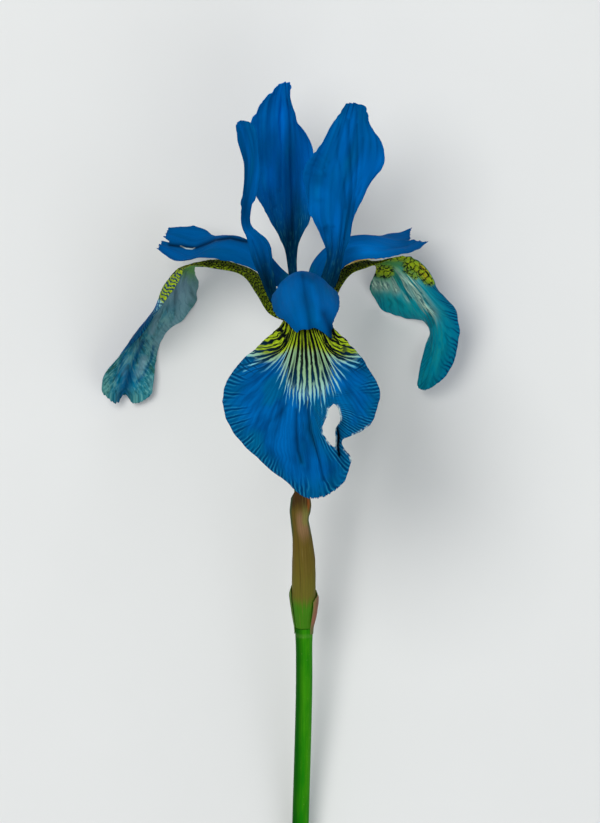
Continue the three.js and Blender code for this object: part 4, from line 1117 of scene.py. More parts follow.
styleArmFront = dict(
    armCrest,
    stations=[
        [[-0.5, 8.7, 3], [0, 8.7, 3.2], [0.5, 8.7, 3]],
        [[-2.6, 9.2, 7.5], [-0.2, 10.7, 8], [2.2, 9.5, 7.5]],
        [[-5.1, 8.4, 13.5], [-0.2, 11.6, 14], [5.1, 8.8, 13.5]],
        [[-6.7, 6.4, 19.5], [-0.2, 11.2, 20], [7.5, 7, 19.5]],
        [[-7, 4, 25.5], [0, 9.5, 26], [8.1, 5.1, 26]],
        [[-5.9, 2, 30.5], [0.4, 6.6, 31], [7.6, 2.6, 31]],
        [[-3.7, 0.2, 36.2], [1.1, 3.1, 36], [7, 0, 36]],
        [[-1.5, -1.8, 38], [1.8, -1.8, 38.2], [6.4, -3, 38]],
    ],
    seed=71, notch=0.03, notchAt=0.12, notchWidth=0.3, fringe=0.0, teeth=2, toothDepth=0.015, furrow=-0.1,
    # In each fold the last number is painted shade, and painted light where it is negative.
    folds=[
        ([(0, 10.6), (0.4, 7), (1.2, 2.5), (1.8, -1.2)], 0.6, -0.35, 0.36),
        ([(-3.2, 9), (-3.8, 5), (-3.4, 1)], 1.2, -0.18, 0.06),
        ([(4.8, 2.2), (6.2, -1), (6.4, -3)], 1.0, -0.4, 0.5),
        ([(2.2, 8.2), (2.8, 4.5), (3.2, 1)], 0.7, 0.15, -0.3),
    ],
    # Patches paint light and shade here, as on the standards.
    patches=[(-2.6, 5.5, 1.8, 4, 8, -0.34), (5.4, 5.6, 1.2, 2.6, 4, -0.32), (7.2, 4.6, 1.2, 4, -10, -0.1),
             (6.2, -1.6, 1.2, 2.2, 0, 0.3), (0.8, 10.5, 5, 0.8, 0, 0.12), (0, 4.5, 8, 7, 0, -0.1)],
)

styleArmLeft = dict(
    armCrest,
    stations=[
        [[-0.5, 9.2, 0.5], [-1, 9.1, 1.4], [-1.5, 8.9, 2.3]],
        [[-4.6, 11.2, -2.1], [-4.8, 12, -0.4], [-5.5, 8.4, 1.6]],
        [[-7.8, 13.8, -5.2], [-8.2, 15.7, -2.2], [-9.2, 11.2, 1.2]],
        [[-11.7, 16.1, -8.6], [-12.3, 18.5, -4.6], [-13.2, 13.1, 0]],
        [[-15.8, 17.4, -11], [-16.1, 19.5, -6.5], [-17.4, 14.2, -1]],
        [[-19.8, 19.8, -13.5], [-20, 18.6, -8.8], [-21.6, 14.7, -3]],
        [[-23.5, 21.8, -15.5], [-24, 16.6, -11], [-25.3, 14.3, -5]],
        [[-26.8, 21.9, -17], [-27.1, 17.6, -13], [-28.6, 14.6, -7]],
        [[-29.7, 21.6, -18], [-31.2, 19.1, -14.5], [-32.3, 16.8, -9.5]],
    ],
    seed=83, notch=0.04, notchWidth=0.12, fringe=0.014, fringeRate=6.0, furrow=-0.1,
    # In each fold the last number is painted shade, and painted light where it is negative.
    folds=[
        ([(-12.3, 18.3), (-16, 19.2), (-19.4, 18.8), (-23.6, 17.1), (-27.1, 17.4), (-29.4, 17.8)],
         0.42, -0.3, 0.75),
        ([(-18, 21), (-23, 20.5), (-28, 21)], 0.7, 0.2, -0.08),
    ],
    # Patches paint light and shade here, as on the standards.
    patches=[(-16, 16, 4, 1.2, -10, -0.1), (-5, 10.5, 2.5, 2.5, 0, 0.16)],
    # The glint is a painted highlight.
    glints=[([(-27, 17.4), (-25.8, 16.8), (-24.4, 16.7), (-23.8, 17)], 0.16)],
)

styleArmRight = dict(
    armCrest,
    stations=[
        [[1.5, 8.9, 2.3], [1, 9.1, 1.4], [0.5, 9.2, 0.5]],
        [[4.4, 8.4, 1.4], [2.4, 13.4, -0.8], [2, 11.4, -3]],
        [[6.8, 10.8, 1], [5.5, 16.9, -2.6], [4.8, 14.7, -6.5]],
        [[10.1, 13.4, 0.2], [9.5, 19, -4.8], [8.8, 16.9, -10]],
        [[13.9, 14.3, -1.4], [13.4, 19.6, -7], [13, 17.4, -12.5]],
        [[17.6, 14.7, -3.6], [16.7, 19.2, -9.3], [16.3, 18.7, -14.8]],
        [[21.1, 15.2, -4.8], [20, 18.5, -11.4], [19.4, 20.2, -17]],
        [[24.4, 16.5, -7.4], [22.4, 18.5, -13.6], [22, 20.9, -19]],
        [[27.7, 18.5, -11], [24.2, 19, -15.3], [24.2, 21.3, -20]],
    ],
    seed=97, notch=0.05, notchWidth=0.12, fringe=0.018, fringeRate=6.0, furrow=-0.1,
    # In each fold the last number is painted shade, and painted light where it is negative.
    folds=[
        ([(9, 18), (14, 18), (18, 16.8), (23, 17.6)], 0.5, -0.2, 0.12),
        ([(13, 15.8), (18, 15.6), (22, 16.4)], 0.6, 0.18, -0.08),
    ],
    # Patches paint light and shade here, as on the standards.
    patches=[
        (12, 17.4, 3.4, 1.2, -4, -0.7), (14, 15.2, 5, 1.4, 0, -0.5), (16, 17.4, 6, 1.8, 4, -0.42),
        (4.4, 12.6, 2.0, 2.5, 30, 0.14),
        (24, 19, 3, 1.6, 20, 0.14),
    ],
)

armTones = palette(
    deep=(0, 70, 122), middle=(0, 80, 140), bright=(0, 88, 158), vein=(0, 58, 114), claw=(0, 76, 110),
    clawLight=(20, 104, 134), teal=(0, 78, 122), rim=(0, 66, 116), petalSheen=(80, 150, 226),
)

for name, settings in (("style_arm_front", styleArmFront), ("style_arm_left", styleArmLeft),
                       ("style_arm_right", styleArmRight)):
    makePetal(name, "_crest", "style_arm", settings, armTones, 6.0, 0.1, 0.01)
print("style arms are made")


def aroundAxis(azimuth, radius, height):
    angle = math.radians(azimuth)
    forward = radius * math.cos(angle)
    return np.array([
        radius * math.sin(angle),
        height * math.cos(tilt) - forward * math.sin(tilt),
        forward * math.cos(tilt) + height * math.sin(tilt)])


def alongStalk(sway, y):
    return np.array([sway, y, y * rise])


# Rings of points become a skin, with a small fan on the middle of each end. Each trait has a value for
# every point of the rings.
def ringPiece(name, rings, traits):
    rings = np.asarray(rings, float)
    count, sides = rings.shape[:2]
    index = np.arange(count * sides).reshape(count, sides)
    a, b = index[:-1], np.roll(index, -1, axis=1)[:-1]
    c, d = np.roll(index, -1, axis=1)[1:], index[1:]
    quads = np.stack([a, b, c, d], axis=-1).reshape(-1, 4)
    points = np.vstack([rings.reshape(-1, 3), rings[0].mean(axis=0), rings[-1].mean(axis=0)])
    first, last = count * sides, count * sides + 1
    caps = [np.stack([np.full(sides, first), np.roll(index[0], -1), index[0]], axis=-1),
            np.stack([np.full(sides, last), index[-1], np.roll(index[-1], -1)], axis=-1)]
    kept = {}
    for trait, values in traits.items():
        values = np.asarray(values, float).reshape(-1, 3)
        kept[trait] = np.vstack([values, values[:sides].mean(axis=0), values[-sides:].mean(axis=0)])
    return makePiece(name, points, [quads, *caps], kept)


def sweepRings(path, across, section, rings, sides):
    share = np.linspace(0, 1, rings + 1)
    centres = railAt(path, share)
    tangents = np.gradient(centres, axis=0)
    tangents /= np.linalg.norm(tangents, axis=1, keepdims=True)
    side = across - tangents * (tangents @ across)[:, None]
    side /= np.linalg.norm(side, axis=1, keepdims=True)
    up = np.cross(tangents, side)
    angle = np.linspace(0, 2 * np.pi, sides, endpoint=False)
    reachAcross, reachUp = section(share[:, None], angle[None, :])
    shape = (rings + 1, sides)
    reachAcross, reachUp = np.broadcast_to(reachAcross, shape), np.broadcast_to(reachUp, shape)
    points = centres[:, None] + side[:, None] * (reachAcross * np.cos(angle))[..., None]
    points = points + up[:, None] * (reachUp * np.sin(angle))[..., None]
    grid = np.broadcast_to(share[:, None], shape), np.broadcast_to(angle[None, :], shape)
    return points, grid


def profile(pairs, share):
    places, values = zip(*pairs)
    spread = [np.interp(share + shift, places, values) for shift in (-0.02, -0.01, 0, 0.01, 0.02)]
    return np.mean(spread, axis=0)


# The trait of a round piece: its share from the base, and the cosine and sine of the angle round it.
def roundTrait(grid):
    share, angle = grid
    return {"round": np.stack([share, np.cos(angle), np.sin(angle)], axis=-1)}


greenTones = palette(
    low=(40, 96, 20), high=(86, 140, 34), pale=(136, 168, 66), line=(28, 70, 18), tube=(92, 132, 60),
    violet=(54, 60, 110),
)


def greenFinish(name, low, high, ribs, blush=0.0, blushTone=None, blushFrom=0.8):
    finish = Finish(name)
    share, sideX, sideY = finish.trait("round")
    cloud = finish.cloud(160.0, 60.0)
    fibre = finish.noise(sideX * 9, sideY * 9, share * 3, 3.0)
    line = (sideY.maths("ARCTAN2", sideX) * ribs).maths("COSINE")
    colour = finish.coats(
        greenTones, low, (finish.step(cloud + (fibre - 0.5) * 0.4, 0.3, 0.72), high),
        (finish.step(line, 0.4, 1.0) * 0.25, "pale"), (finish.step(line, -0.6, -1.0) * 0.35, "line"))
    if blush:
        mask = finish.step(share + (cloud - 0.5) * 0.2, blushFrom - 0.12, blushFrom + 0.12)
        colour = finish.coats(greenTones, colour, (mask * blush, blushTone))
    height = line * 0.4 + fibre * 0.6
    return finish.close(colour, 0.46 + (fibre - 0.5) * 0.2, finish.bump(height, 0.0001, 0.5),
                        Specular_IOR_Level=0.4)


perianth = dict(lobes=3, lobeDepth=0.05, sides=96, rows=60, outline=[
    (0.02, -tubeDepth), (0.8, -tubeDepth), (1.45, -tubeDepth), (1.5, -6.25), (1.6, -5.4), (1.72, -4.5),
    (2.0, -3.4), (2.45, -2.4), (3.1, -1.4), (3.8, -0.75), (4.15, -0.45), (4.25, -0.2), (4.2, -0.03),
    (3.9, 0.0), (3.3, -0.02), (3.02, -0.12), (2.92, -0.4), (2.85, -0.72), (2.5, -0.8), (1.2, -0.8),
    (0.02, -0.8),
])


def makeTube():
    outline = railAt([(r, h, 0) for r, h in perianth["outline"]], np.linspace(0, 1, perianth["rows"] + 1))
    turns = np.linspace(0, 360, perianth["sides"], endpoint=False)
    rings = []
    for radius, height, _ in outline:
        lobe = 1 - perianth["lobeDepth"] * (radius > 1) * (1 - np.cos(np.radians(turns * 3))) / 2
        rings.append([aroundAxis(turn, max(radius, 0.01) * part, height) for turn, part in zip(turns, lobe)])
    share = np.linspace(0, 1, len(rings))[:, None] + np.zeros(len(turns))
    grid = share, np.radians(turns)[None, :] + np.zeros((len(rings), 1))
    piece = ringPiece("tube_cup", rings, roundTrait(grid))
    dress(piece, "perianth_tube", "tube", greenFinish("tube_tissue", "low", "tube", 24, 0.6, "violet", 0.55))


def makeColumn():
    base = seatGap - cupDepth
    path = [aroundAxis(0, 0, base), aroundAxis(0, 0, styleHeight / 2), aroundAxis(0, 0, styleHeight)]
    girth = [(0, 1.2), (0.5, 1.24), (0.8, 1.32), (1, 1.45)]

    def section(t, a):
        return [profile(girth, t) * (1 + 0.07 * np.sin(3 * a)) * (1 - 0.3 * smooth(t, 0.96, 1) ** 2)] * 2

    rings, grid = sweepRings(path, np.array([1.0, 0, 0]), section, 40, 72)
    piece = ringPiece("column_pillar", rings, roundTrait(grid))
    dress(piece, "style_column", "style_column",
          greenFinish("column_tissue", tone(22, 84, 120), tone(48, 122, 158), 12, 0.5, tone(4, 84, 150), 0.6))


def makeOvary():
    girth = [(0, 0.62), (0.06, 0.74), (0.2, 0.92), (0.5, 1), (0.85, 0.85), (0.96, 0.74), (1, 0.66)]
    path = [alongStalk(-0.4, -ovaryTop - ovaryLength), alongStalk(-0.2, -ovaryTop - ovaryLength / 2),
            alongStalk(0, -ovaryTop)]

    def section(t, a):
        lobes = 1 + 0.1 * np.sin(3 * a) - 0.05 * np.exp(-((np.sin(3 * a / 2 - np.pi / 4)) / 0.22) ** 2)
        ends = 1 - 0.35 * smooth(t, 0.985, 1.0) - 0.35 * smooth(-t, -0.015, 0)
        return [ovaryRadius * profile(girth, t) * lobes * ends + 0.012 * np.cos(36 * a)] * 2

    rings, grid = sweepRings(path, np.array([1.0, 0, 0]), section, 120, 108)
    piece = ringPiece("ovary_body", rings, roundTrait(grid))
    dress(piece, "ovary", "ovary", greenFinish("ovary_skin", "low", "high", 18))


stamenSizes = dict(
    filament=0.42, antherLength=8, length=23, rows=110, sides=36, grains=1500000.0, grainSize=0.000085,
    route=[
        (2.25, seatGap - cupDepth), (2.4, 3), (3.6, 6.8), (6.2, 10.2), (10, 12.3), (14.5, 13.3), (20.5, 13.2),
    ],
)


# Starts a geometry tree with named inputs, and gives its bench and a wire for each input.
def startTree(name, inputs):
    tree = bpy.data.node_groups.new(name, "GeometryNodeTree")
    for label, kind in inputs.items():
        tree.interface.new_socket(label, in_out="INPUT", socket_type="NodeSocket" + kind)
    tree.interface.new_socket("Geometry", in_out="OUTPUT", socket_type="NodeSocketGeometry")
    bench = Bench(tree)
    given = bench.add("NodeGroupInput", None, None, None)
    return bench, {output.name: Wire(bench, output) for output in given.outputs}


# Grains of pollen are scattered over the anther by a node tree with a fixed seed.
def pollenTree(pollen):
    bench, wires = startTree("anther_pollen", {
        "Anther": "Geometry", "Grains per Area": "Float", "Grain Radius": "Float", "Anther From": "Float"})
    trait = bench.add("GeometryNodeInputNamedAttribute", {"data_type": "FLOAT_VECTOR"}, {"Name": "round"})
    split = bench.add("ShaderNodeSeparateXYZ", None, {0: trait})
    onAnther = bench.add("FunctionNodeCompare", {"operation": "GREATER_THAN"},
                         {0: split, 1: wires["Anther From"]})
    dots = bench.add("GeometryNodeDistributePointsOnFaces", {"distribute_method": "RANDOM"}, {
        "Mesh": wires["Anther"], "Selection": onAnther, "Density": wires["Grains per Area"], "Seed": 4})
    ball = bench.add("GeometryNodeMeshIcoSphere", None, {"Radius": wires["Grain Radius"], "Subdivisions": 1})
    size = bench.add("FunctionNodeRandomValue", {"data_type": "FLOAT"}, {2: 0.6, 3: 1.25, "Seed": 9}, 1)
    spread = bench.add("GeometryNodeInstanceOnPoints", None,
                       {"Points": dots, "Instance": ball, "Scale": size})
    real = bench.add("GeometryNodeRealizeInstances", None, {0: spread})
    dusted = bench.add("GeometryNodeSetMaterial", None, {"Geometry": real, "Material": pollen})
    joined = bench.add("GeometryNodeJoinGeometry", None, None, None)
    for part in (dusted, wires["Anther"]):
        bench.tree.links.new(part.socket, joined.inputs[0])
    bench.add("NodeGroupOutput", None, {0: Wire(bench, joined.outputs[0])}, None)
    return bench.tree


# The result of a node tree becomes a plain mesh.
def settle(rough, tree, name, inputs):
    modifier = rough.modifiers.new(name, "NODES")
    modifier.node_group = tree
    sockets = {item.name: item.identifier for item in tree.interface.items_tree if item.in_out == "INPUT"}
    for label, value in inputs.items():
        modifier[sockets[label]] = value
    graph = bpy.context.evaluated_depsgraph_get()
    mesh = bpy.data.meshes.new_from_object(rough.evaluated_get(graph))
    piece = putInScene(name, mesh)
    bpy.data.objects.remove(rough, do_unlink=True)
    return piece


def stamenFinish():
    finish = Finish("stamen_tissue")
    share, sideX, _ = finish.trait("round")
    cloud = finish.cloud(700.0, 700.0)
    stalk = finish.blend(cloud, tone(60, 96, 150), tone(150, 168, 186))
    pouch = finish.blend(finish.step(cloud, 0.35, 0.65), tone(176, 142, 66), tone(214, 188, 112))
    pouch = finish.blend(finish.step(abs(sideX), 0.26, 0.08) * 0.6, pouch, tone(96, 78, 60))
    colour = finish.blend(finish.step(share, 0.645, 0.665), stalk, pouch)
    return finish.close(colour, 0.6, finish.bump(cloud, 0.00008, 0.6), Specular_IOR_Level=0.3)


def makeStamen(name, azimuth, finish, tree):
    angle = math.radians(azimuth)
    across = np.array([math.cos(angle), math.sin(angle) * math.sin(tilt), -math.sin(angle)])
    start = 1 - stamenSizes["antherLength"] / stamenSizes["length"]
    filament = stamenSizes["filament"]

    def section(t, a):
        pouch = smooth(t, start - 0.004, start + 0.03) * (1 - 0.75 * smooth(t, 0.975, 1.0) ** 2)
        groove = 1 - 0.38 * np.exp(-(np.cos(a) / 0.3) ** 2)
        wide = filament * (0.95 + 0.68 * pouch * (0.7 + 0.3 * groove))
        up = filament * (0.9 + 0.1 * pouch) * (1 - pouch + pouch * groove)
        return wide, up

    path = [aroundAxis(azimuth, radius, height) for radius, height in stamenSizes["route"]]
    rings, grid = sweepRings(path, across, section, stamenSizes["rows"], stamenSizes["sides"])
    rough = ringPiece(name + "_plain", rings, roundTrait(grid))
    rough.data.materials.append(finish)
    piece = settle(rough, tree, name + "_anther", {
        "Grains per Area": stamenSizes["grains"], "Grain Radius": stamenSizes["grainSize"],
        "Anther From": start + 0.02})
    dress(piece, name, "stamen")


def makeStamens():
    pollen = Finish("pollen")
    dust = pollen.grain(pollen.place(), 2600.0, 1.0)
    pollenFinish = pollen.close(pollen.blend(dust, tone(206, 176, 92), tone(236, 218, 150)), 0.8,
                                pollen.bump(dust, 0.00003, 0.5), Specular_IOR_Level=0.2)
    tree = pollenTree(pollenFinish)
    finish = stamenFinish()
    for name, azimuth in (("stamen_front", 0), ("stamen_left", -120), ("stamen_right", 120)):
        makeStamen(name, azimuth, finish, tree)


makeTube()
makeColumn()
makeOvary()
makeStamens()
print("tube, column, ovary and stamens are made")


# A node tree sweeps the ribbed section of the stem and the pedicel along a path.
stemStalk = dict(
    path=[(-1, -stemReach, stemRadius * math.cos(tilt) - heartHeight), (-0.5, -108, -108 * rise),
          (0.2, -82, -82 * rise), (0.2, -nodeReach, -nodeReach * rise)],
    girth=[(0, 0.985), (0.02, 1), (0.5, 0.985), (0.9, 0.98), (0.965, 1.03), (0.985, 1.05), (1, 1.01)],
    radius=stemRadius, ribs=15.0, ribDepth=0.014, sides=90, steps=130, nodeFrom=0.965, cutEnd=True,
    # The shade tone is painted shade down one side of the stalk.
    tones=palette(dark=(0, 68, 6), green=(22, 112, 8), light=(58, 136, 14), line=(6, 68, 8),
                  node=(168, 190, 118), pith=(186, 206, 140), bundle=(84, 116, 52)),
)

pedicelStalk = dict(
    path=[alongStalk(0.2, sheathBase + (sheathTop - sheathBase) * 0.12 + seatGap), alongStalk(0.1, -52),
          alongStalk(-0.75, -42.5), alongStalk(-0.8, -36),
          alongStalk(-0.4, -ovaryTop - ovaryLength - seatGap)],
    girth=[(0, 1), (0.6, 1), (0.75, 1.25), (1, 1.35)],
    radius=pedicelRadius, ribs=7.0, ribDepth=0.02, sides=48, steps=120, nodeFrom=2.0, cutEnd=False,
    tones=dict(stemStalk["tones"], **palette(green=(44, 116, 20), light=(84, 146, 36))),
)


def stalkTree():
    bench, wires = startTree("ribbed_stalk", {
        "Path": "Geometry", "Sides": "Int", "Ribs": "Float", "Rib Depth": "Float", "Skin": "Material"})
    ring = bench.add("GeometryNodeCurvePrimitiveCircle", {"mode": "RADIUS"},
                     {"Resolution": wires["Sides"], "Radius": 1.0})
    spot = bench.add("GeometryNodeInputPosition")
    split = bench.add("ShaderNodeSeparateXYZ", None, {0: spot}, None)
    turn = Wire(bench, split.outputs[1]).maths("ARCTAN2", Wire(bench, split.outputs[0]))
    ribbed = (turn * wires["Ribs"]).maths("COSINE") * wires["Rib Depth"] + 1
    grooved = bench.add("ShaderNodeVectorMath", {"operation": "SCALE"}, {0: spot, 3: ribbed})
    stored = {"data_type": "FLOAT_VECTOR", "domain": "POINT"}
    ringRound = bench.add("GeometryNodeStoreNamedAttribute", stored,
                          {"Geometry": ring, "Name": "around", "Value": spot})
    section = bench.add("GeometryNodeSetPosition", None, {"Geometry": ringRound, "Position": grooved})
    parameter = bench.add("GeometryNodeSplineParameter")
    both = bench.add("ShaderNodeCombineXYZ", None, {0: parameter})
    marked = bench.add("GeometryNodeStoreNamedAttribute", stored,
                       {"Geometry": wires["Path"], "Name": "along", "Value": both})
    girth = bench.add("GeometryNodeInputRadius")
    skin = bench.add("GeometryNodeCurveToMesh", None,
                     {"Curve": marked, "Profile Curve": section, "Scale": girth, "Fill Caps": True})
    soft = bench.add("GeometryNodeSetShadeSmooth", None, {"Geometry": skin, "Shade Smooth": True})
    real = bench.add("GeometryNodeRealizeInstances", None, {0: soft})
    dressed = bench.add("GeometryNodeSetMaterial", None, {"Geometry": real, "Material": wires["Skin"]})
    bench.add("NodeGroupOutput", None, {0: dressed}, None)
    return bench.tree


def stalkCurve(name, stalk):
    share = np.linspace(0, 1, stalk["steps"] + 1)
    centres = (railAt(stalk["path"], share) + heart) * mm
    radii = stalk["radius"] * profile(stalk["girth"], share) * mm
    curve = bpy.data.curves.new(name, "CURVE")
    curve.dimensions = "3D"
    spline = curve.splines.new("POLY")
    spline.points.add(stalk["steps"])
    for point, centre, size in zip(spline.points, centres, radii):
        point.co = (*centre, 1)
        point.radius = size
    return putInScene(name, curve)


def stalkFinish(name, stalk):
    finish, tones, nodeFrom = Finish(name), stalk["tones"], stalk["nodeFrom"]
    coats, step = finish.coats, finish.step
    along = finish.trait("along")[0]
    sideX, sideY, _ = finish.trait("around")
    spot = finish.place()
    cloud = finish.cloud(300.0, 46.0)
    fibre = finish.noise(sideX * 11, sideY * 11, along * 5, 3.0)
    speck = finish.grain(spot, 2400.0, 2.0)
    collar = 0.5 * step(along + (fibre - 0.5) * 0.004, nodeFrom, nodeFrom + 0.006) * (
        1 - step(along, nodeFrom + 0.012, nodeFrom + 0.022))
    colour = coats(
        # One side of the stalk is painted in the shade tone, as painted shade.
        tones, "green", (step(cloud + (fibre - 0.5) * 0.6, 0.3, 0.7), "light"),
        (step(fibre, 0.58, 0.72) * 0.4, "line"), (step(speck, 0.66, 0.76) * 0.16, "node"),
        (step(sideX, 0.15, -0.75) * 0.8, "dark"), (collar * 0.12, "node"))
    if stalk["cutEnd"]:
        bundles = finish.cells(finish.scaled(spot, 1500.0, 0.0, 1500.0), "F1")
        ring = finish.add("ShaderNodeVectorMath", {"operation": "LENGTH"}, {0: finish.point(sideX, sideY)}, 1)
        cut = coats(tones, "pith", (step(bundles, 0.34, 0.2), "bundle"), (step(ring, 0.9, 0.97), "light"))
        colour = coats(tones, colour, (1 - step(along, 0.0002, 0.0006), cut))
    height = fibre * 0.7 + speck * 0.3
    return finish.close(colour, 0.5 + (fibre - 0.5) * 0.18, finish.bump(height, 0.00009, 0.4),
                        Specular_IOR_Level=0.05, Specular_Tint=tone(140, 200, 110))


def makeStalks():
    tree = stalkTree()
    for node, slot, stalk in (("stem", "stem", stemStalk), ("pedicel", "ovary", pedicelStalk)):
        piece = settle(stalkCurve(node + "_path", stalk), tree, node + "_stalk", {
            "Sides": stalk["sides"], "Ribs": stalk["ribs"], "Rib Depth": stalk["ribDepth"],
            "Skin": stalkFinish(node + "_skin", stalk)})
        piece.data.set_sharp_from_angle(angle=math.radians(50))
        dress(piece, node, slot)


sheathGirth = [(0, 1.9), (0.09, 2.3), (0.2, 2.7), (0.35, 2.65), (0.5, 2.55), (0.65, 2.2), (0.81, 2.03),
               (0.87, 2.35), (0.95, 2.36), (1, 2.1)]
sheathSway = [(0, 0.2), (0.35, 0.2), (0.5, 0.13), (0.65, -0.1), (0.81, -0.75), (0.95, -0.5), (1, -0.55)]
sheathStyle = dict(sides=128, steps=120, wall=0.32, veins=26, veinHeight=0.022, seam=0.22, cavity=0.12)
bractStyle = dict(rows=70, columns=120, wall=0.4, margins=(165, 240), base=-0.05, top=0.26)


def sheathPoint(share, angle, radius, lean):
    height = radius * np.sin(angle)
    y = sheathBase + (sheathTop - sheathBase) * share
    x = profile(sheathSway, share)
    return np.stack(np.broadcast_arrays(
        x + radius * np.cos(angle),
        y + lean * math.cos(tilt) - height * math.sin(tilt),
        y * rise + lean * math.sin(tilt) + height * math.cos(tilt)), axis=-1)


spatheTones = palette(
    green=(56, 116, 6), olive=(98, 92, 26), brown=(92, 66, 16), pink=(150, 112, 84), orange=(158, 80, 20),
    mouth=(58, 34, 6), lip=(120, 122, 56), edge=(30, 72, 34), streak=(136, 124, 66), vein=(66, 58, 20),
    inside=(30, 18, 6), bract=(104, 82, 60), bractPink=(140, 84, 66), bractGreen=(36, 104, 22),
    bractInside=(66, 128, 34),
)


def spatheFinish():
    finish = Finish("spathe_paper")
    noise, step = finish.noise, finish.step
    share, sideX, sideY = finish.trait("round")
    inner, seam, _ = finish.trait("skin")
    cloud = finish.cloud(420.0, 90.0)
    fibre = noise(sideX * 7, sideY * 7, share * 3.2, 3.0, 0.6)
    hair = noise(sideX * 26, sideY * 26, share * 6)
    up = share + (fibre - 0.5) * 0.16
    browned = step(up + (cloud - 0.5) * 0.5, 0.3, 0.62)
    pink = step(share + (cloud - 0.5) * 0.1, 0.62, 0.76) * step(sideX, -0.6, 0.0)
    lip = step(share, 0.74, 0.8) * (1 - step(share, 0.9, 0.94)) * step(sideX, 0.1, 0.45)
    mouth = step(share + (fibre - 0.5) * 0.1, 0.85, 0.93)
    edge = step(abs(sideX), 0.72, 0.95) * step(share, 0.62, 0.76)
    line = (sideY.maths("ARCTAN2", sideX) * sheathStyle["veins"]).maths("COSINE")
    # The inside tone paints the hollow inside of the sheath nearly black, as painted shade.
    colour = finish.coats(
        spatheTones, "green", (step(up, 0.14, 0.26), "olive"), (browned * 0.6, "brown"),
        (pink * (1 - step(share, 0.82, 0.9)) * 0.6, "pink"), (lip * 0.7, "lip"), (mouth * 0.9, "mouth"),
        (mouth * step(sideX, 0.5, 0.85), "orange"), (edge * 0.8, "edge"),
        (step(fibre, 0.56, 0.72) * 0.35, "streak"), (step(line, 0.5, 1.0) * 0.22, "vein"),
        (step(hair, 0.6, 0.75) * 0.22, "vein"), (seam * 0.5, "vein"), (inner, "inside"))
    height = line * -0.3 + fibre * 0.8 + hair * 0.4
    return finish.close(colour, 0.62 + (fibre - 0.5) * 0.25, finish.bump(height, 0.00012, 0.6),
                        Specular_IOR_Level=0.12)


# The sheath's skin goes up the inside, over a rim with two lips and down the outside. One margin laps
# over the other along a seam in front.
def makeSpathe():
    style = sheathStyle
    angle = np.linspace(0, 2 * np.pi, style["sides"], endpoint=False)
    seamAt = 1.9

    def ring(share, wall, inner):
        rim = smooth(share, 0.8, 1)
        lip = 0.4 * np.sin(angle) - 1.2 * np.cos(2 * angle) + 0.25 * ripple(angle * 3.2, 4.0, 3)
        seamAngle = seamAt + 0.5 * (share - 0.5)
        lapped = smooth((angle - seamAngle + 0.9), 0, 0.7) * (angle < seamAngle)
        radius = profile(sheathGirth, share) - wall
        radius = radius + (0 if inner else 1) * (
            style["seam"] * lapped * smooth(share, 0.15, 0.3)
            + style["veinHeight"] * np.cos(style["veins"] * angle)
            + 0.07 * ripple(np.cos(angle) * 2.1, share * 9 + np.sin(angle) * 2.1, 8)) - 0.05
        spots = sheathPoint(share, angle, radius, lip * rim)
        seam = np.exp(-((angle - seamAngle - 0.03) / 0.04) ** 2) * smooth(share, 0.15, 0.3)
        traits = np.stack([np.full(angle.shape, share), np.cos(angle), np.sin(angle)], axis=-1)
        none = np.zeros(angle.shape)
        skins = np.stack([none + float(inner), seam * (not inner), none], axis=-1)
        return spots, traits, skins

    shares = np.linspace(0, 1, style["steps"] + 1)
    inside = [ring(style["cavity"] + (1 - style["cavity"]) * share, style["wall"], True) for share in shares]
    outside = [ring(1 - share * 1.007, 0, False) for share in shares]
    spots, traits, skins = zip(*(inside + outside))
    piece = ringPiece("spathe_sheath", spots, {"round": np.array(traits), "skin": np.array(skins)})
    dress(piece, "spathe", "spathe", spatheFinish())


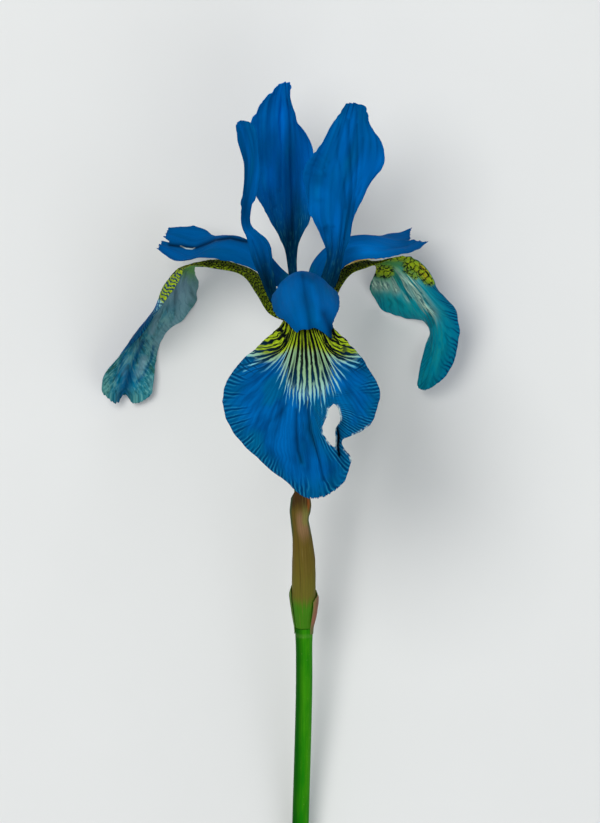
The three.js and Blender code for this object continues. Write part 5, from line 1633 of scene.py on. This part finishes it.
def bractFinish():
    finish = Finish("bract_paper")
    step = finish.step
    share, sideX, sideY = finish.trait("round")
    inner, rim, _ = finish.trait("skin")
    cloud = finish.cloud(500.0, 120.0)
    fibre = finish.noise(sideX * 10, sideY * 10, share * 2.4, 3.0)
    green = step(sideX + (fibre - 0.5) * 0.3 - share * 0.4, 0.6, 0.1)
    colour = finish.coats(
        spatheTones, "bract", (step(cloud, 0.3, 0.7), "bractPink"), (green * 0.85, "bractGreen"),
        (step(share, 0.4, 0.0) * 0.5, "bractGreen"), (step(fibre, 0.55, 0.7) * 0.4, "streak"),
        (rim * 0.2, "streak"), (inner * 0.8, "bractInside"))
    return finish.close(colour, 0.6 + (fibre - 0.5) * 0.2, finish.bump(fibre + cloud * 0.5, 0.0001, 0.6),
                        Specular_IOR_Level=0.2)


def makeBract():
    style = bractStyle
    rows, columns = style["rows"], style["columns"]
    alongStem = (sheathTop - sheathBase) / math.cos(tilt)
    row, column = np.meshgrid(np.linspace(0, 1, rows + 1), np.linspace(0, 1, columns + 1), indexing="ij")
    angle = np.radians(style["margins"][0] + style["margins"][1] * column)
    share = style["base"] + (style["top"] - style["base"]) * row
    onSheath = np.maximum(share, 0)
    side = np.minimum(column, 1 - column) * 2
    seat = np.maximum(profile(sheathGirth, onSheath), 1.03 * stemRadius)
    seat = seat + 0.08 + 0.14 * smooth(row, 0.3, 1) + 0.06 * ripple(angle * 3, share * 9, 4)
    tip = -1.4 * np.sin(angle) - 0.6 * np.cos(angle) - 0.35 * (1 - smooth(side, 0, 0.15))
    tip = tip + 0.12 * ripple(angle * 6, 1.0, 6)
    lean = (share - onSheath) * alongStem + tip * row
    wall = style["wall"] * (0.3 + 0.7 * smooth(side, 0, 0.12) * smooth(1 - row, 0, 0.1) * smooth(row, 0, 0.4))
    outer = sheathPoint(onSheath, angle, seat + wall, lean)
    inner = sheathPoint(onSheath, angle, seat, lean)
    traits = np.stack([row, np.cos(angle), np.sin(angle)], axis=-1).reshape(-1, 3)
    edge = 1 - smooth(np.minimum(side, 1 - row), 0, 0.08)
    skins = [np.stack([np.full(row.shape, k), edge, edge * 0], axis=-1).reshape(-1, 3) for k in (0.0, 1.0)]
    piece = makePiece("lower_bract", np.vstack([outer.reshape(-1, 3), inner.reshape(-1, 3)]),
                      [sheetFaces(rows + 1, columns + 1)],
                      {"round": np.vstack([traits, traits]), "skin": np.vstack(skins)})
    dress(piece, "spathe_lower", "bract", bractFinish())


makeStalks()
makeSpathe()
makeBract()
print("stem, pedicel, spathe and bract are made")
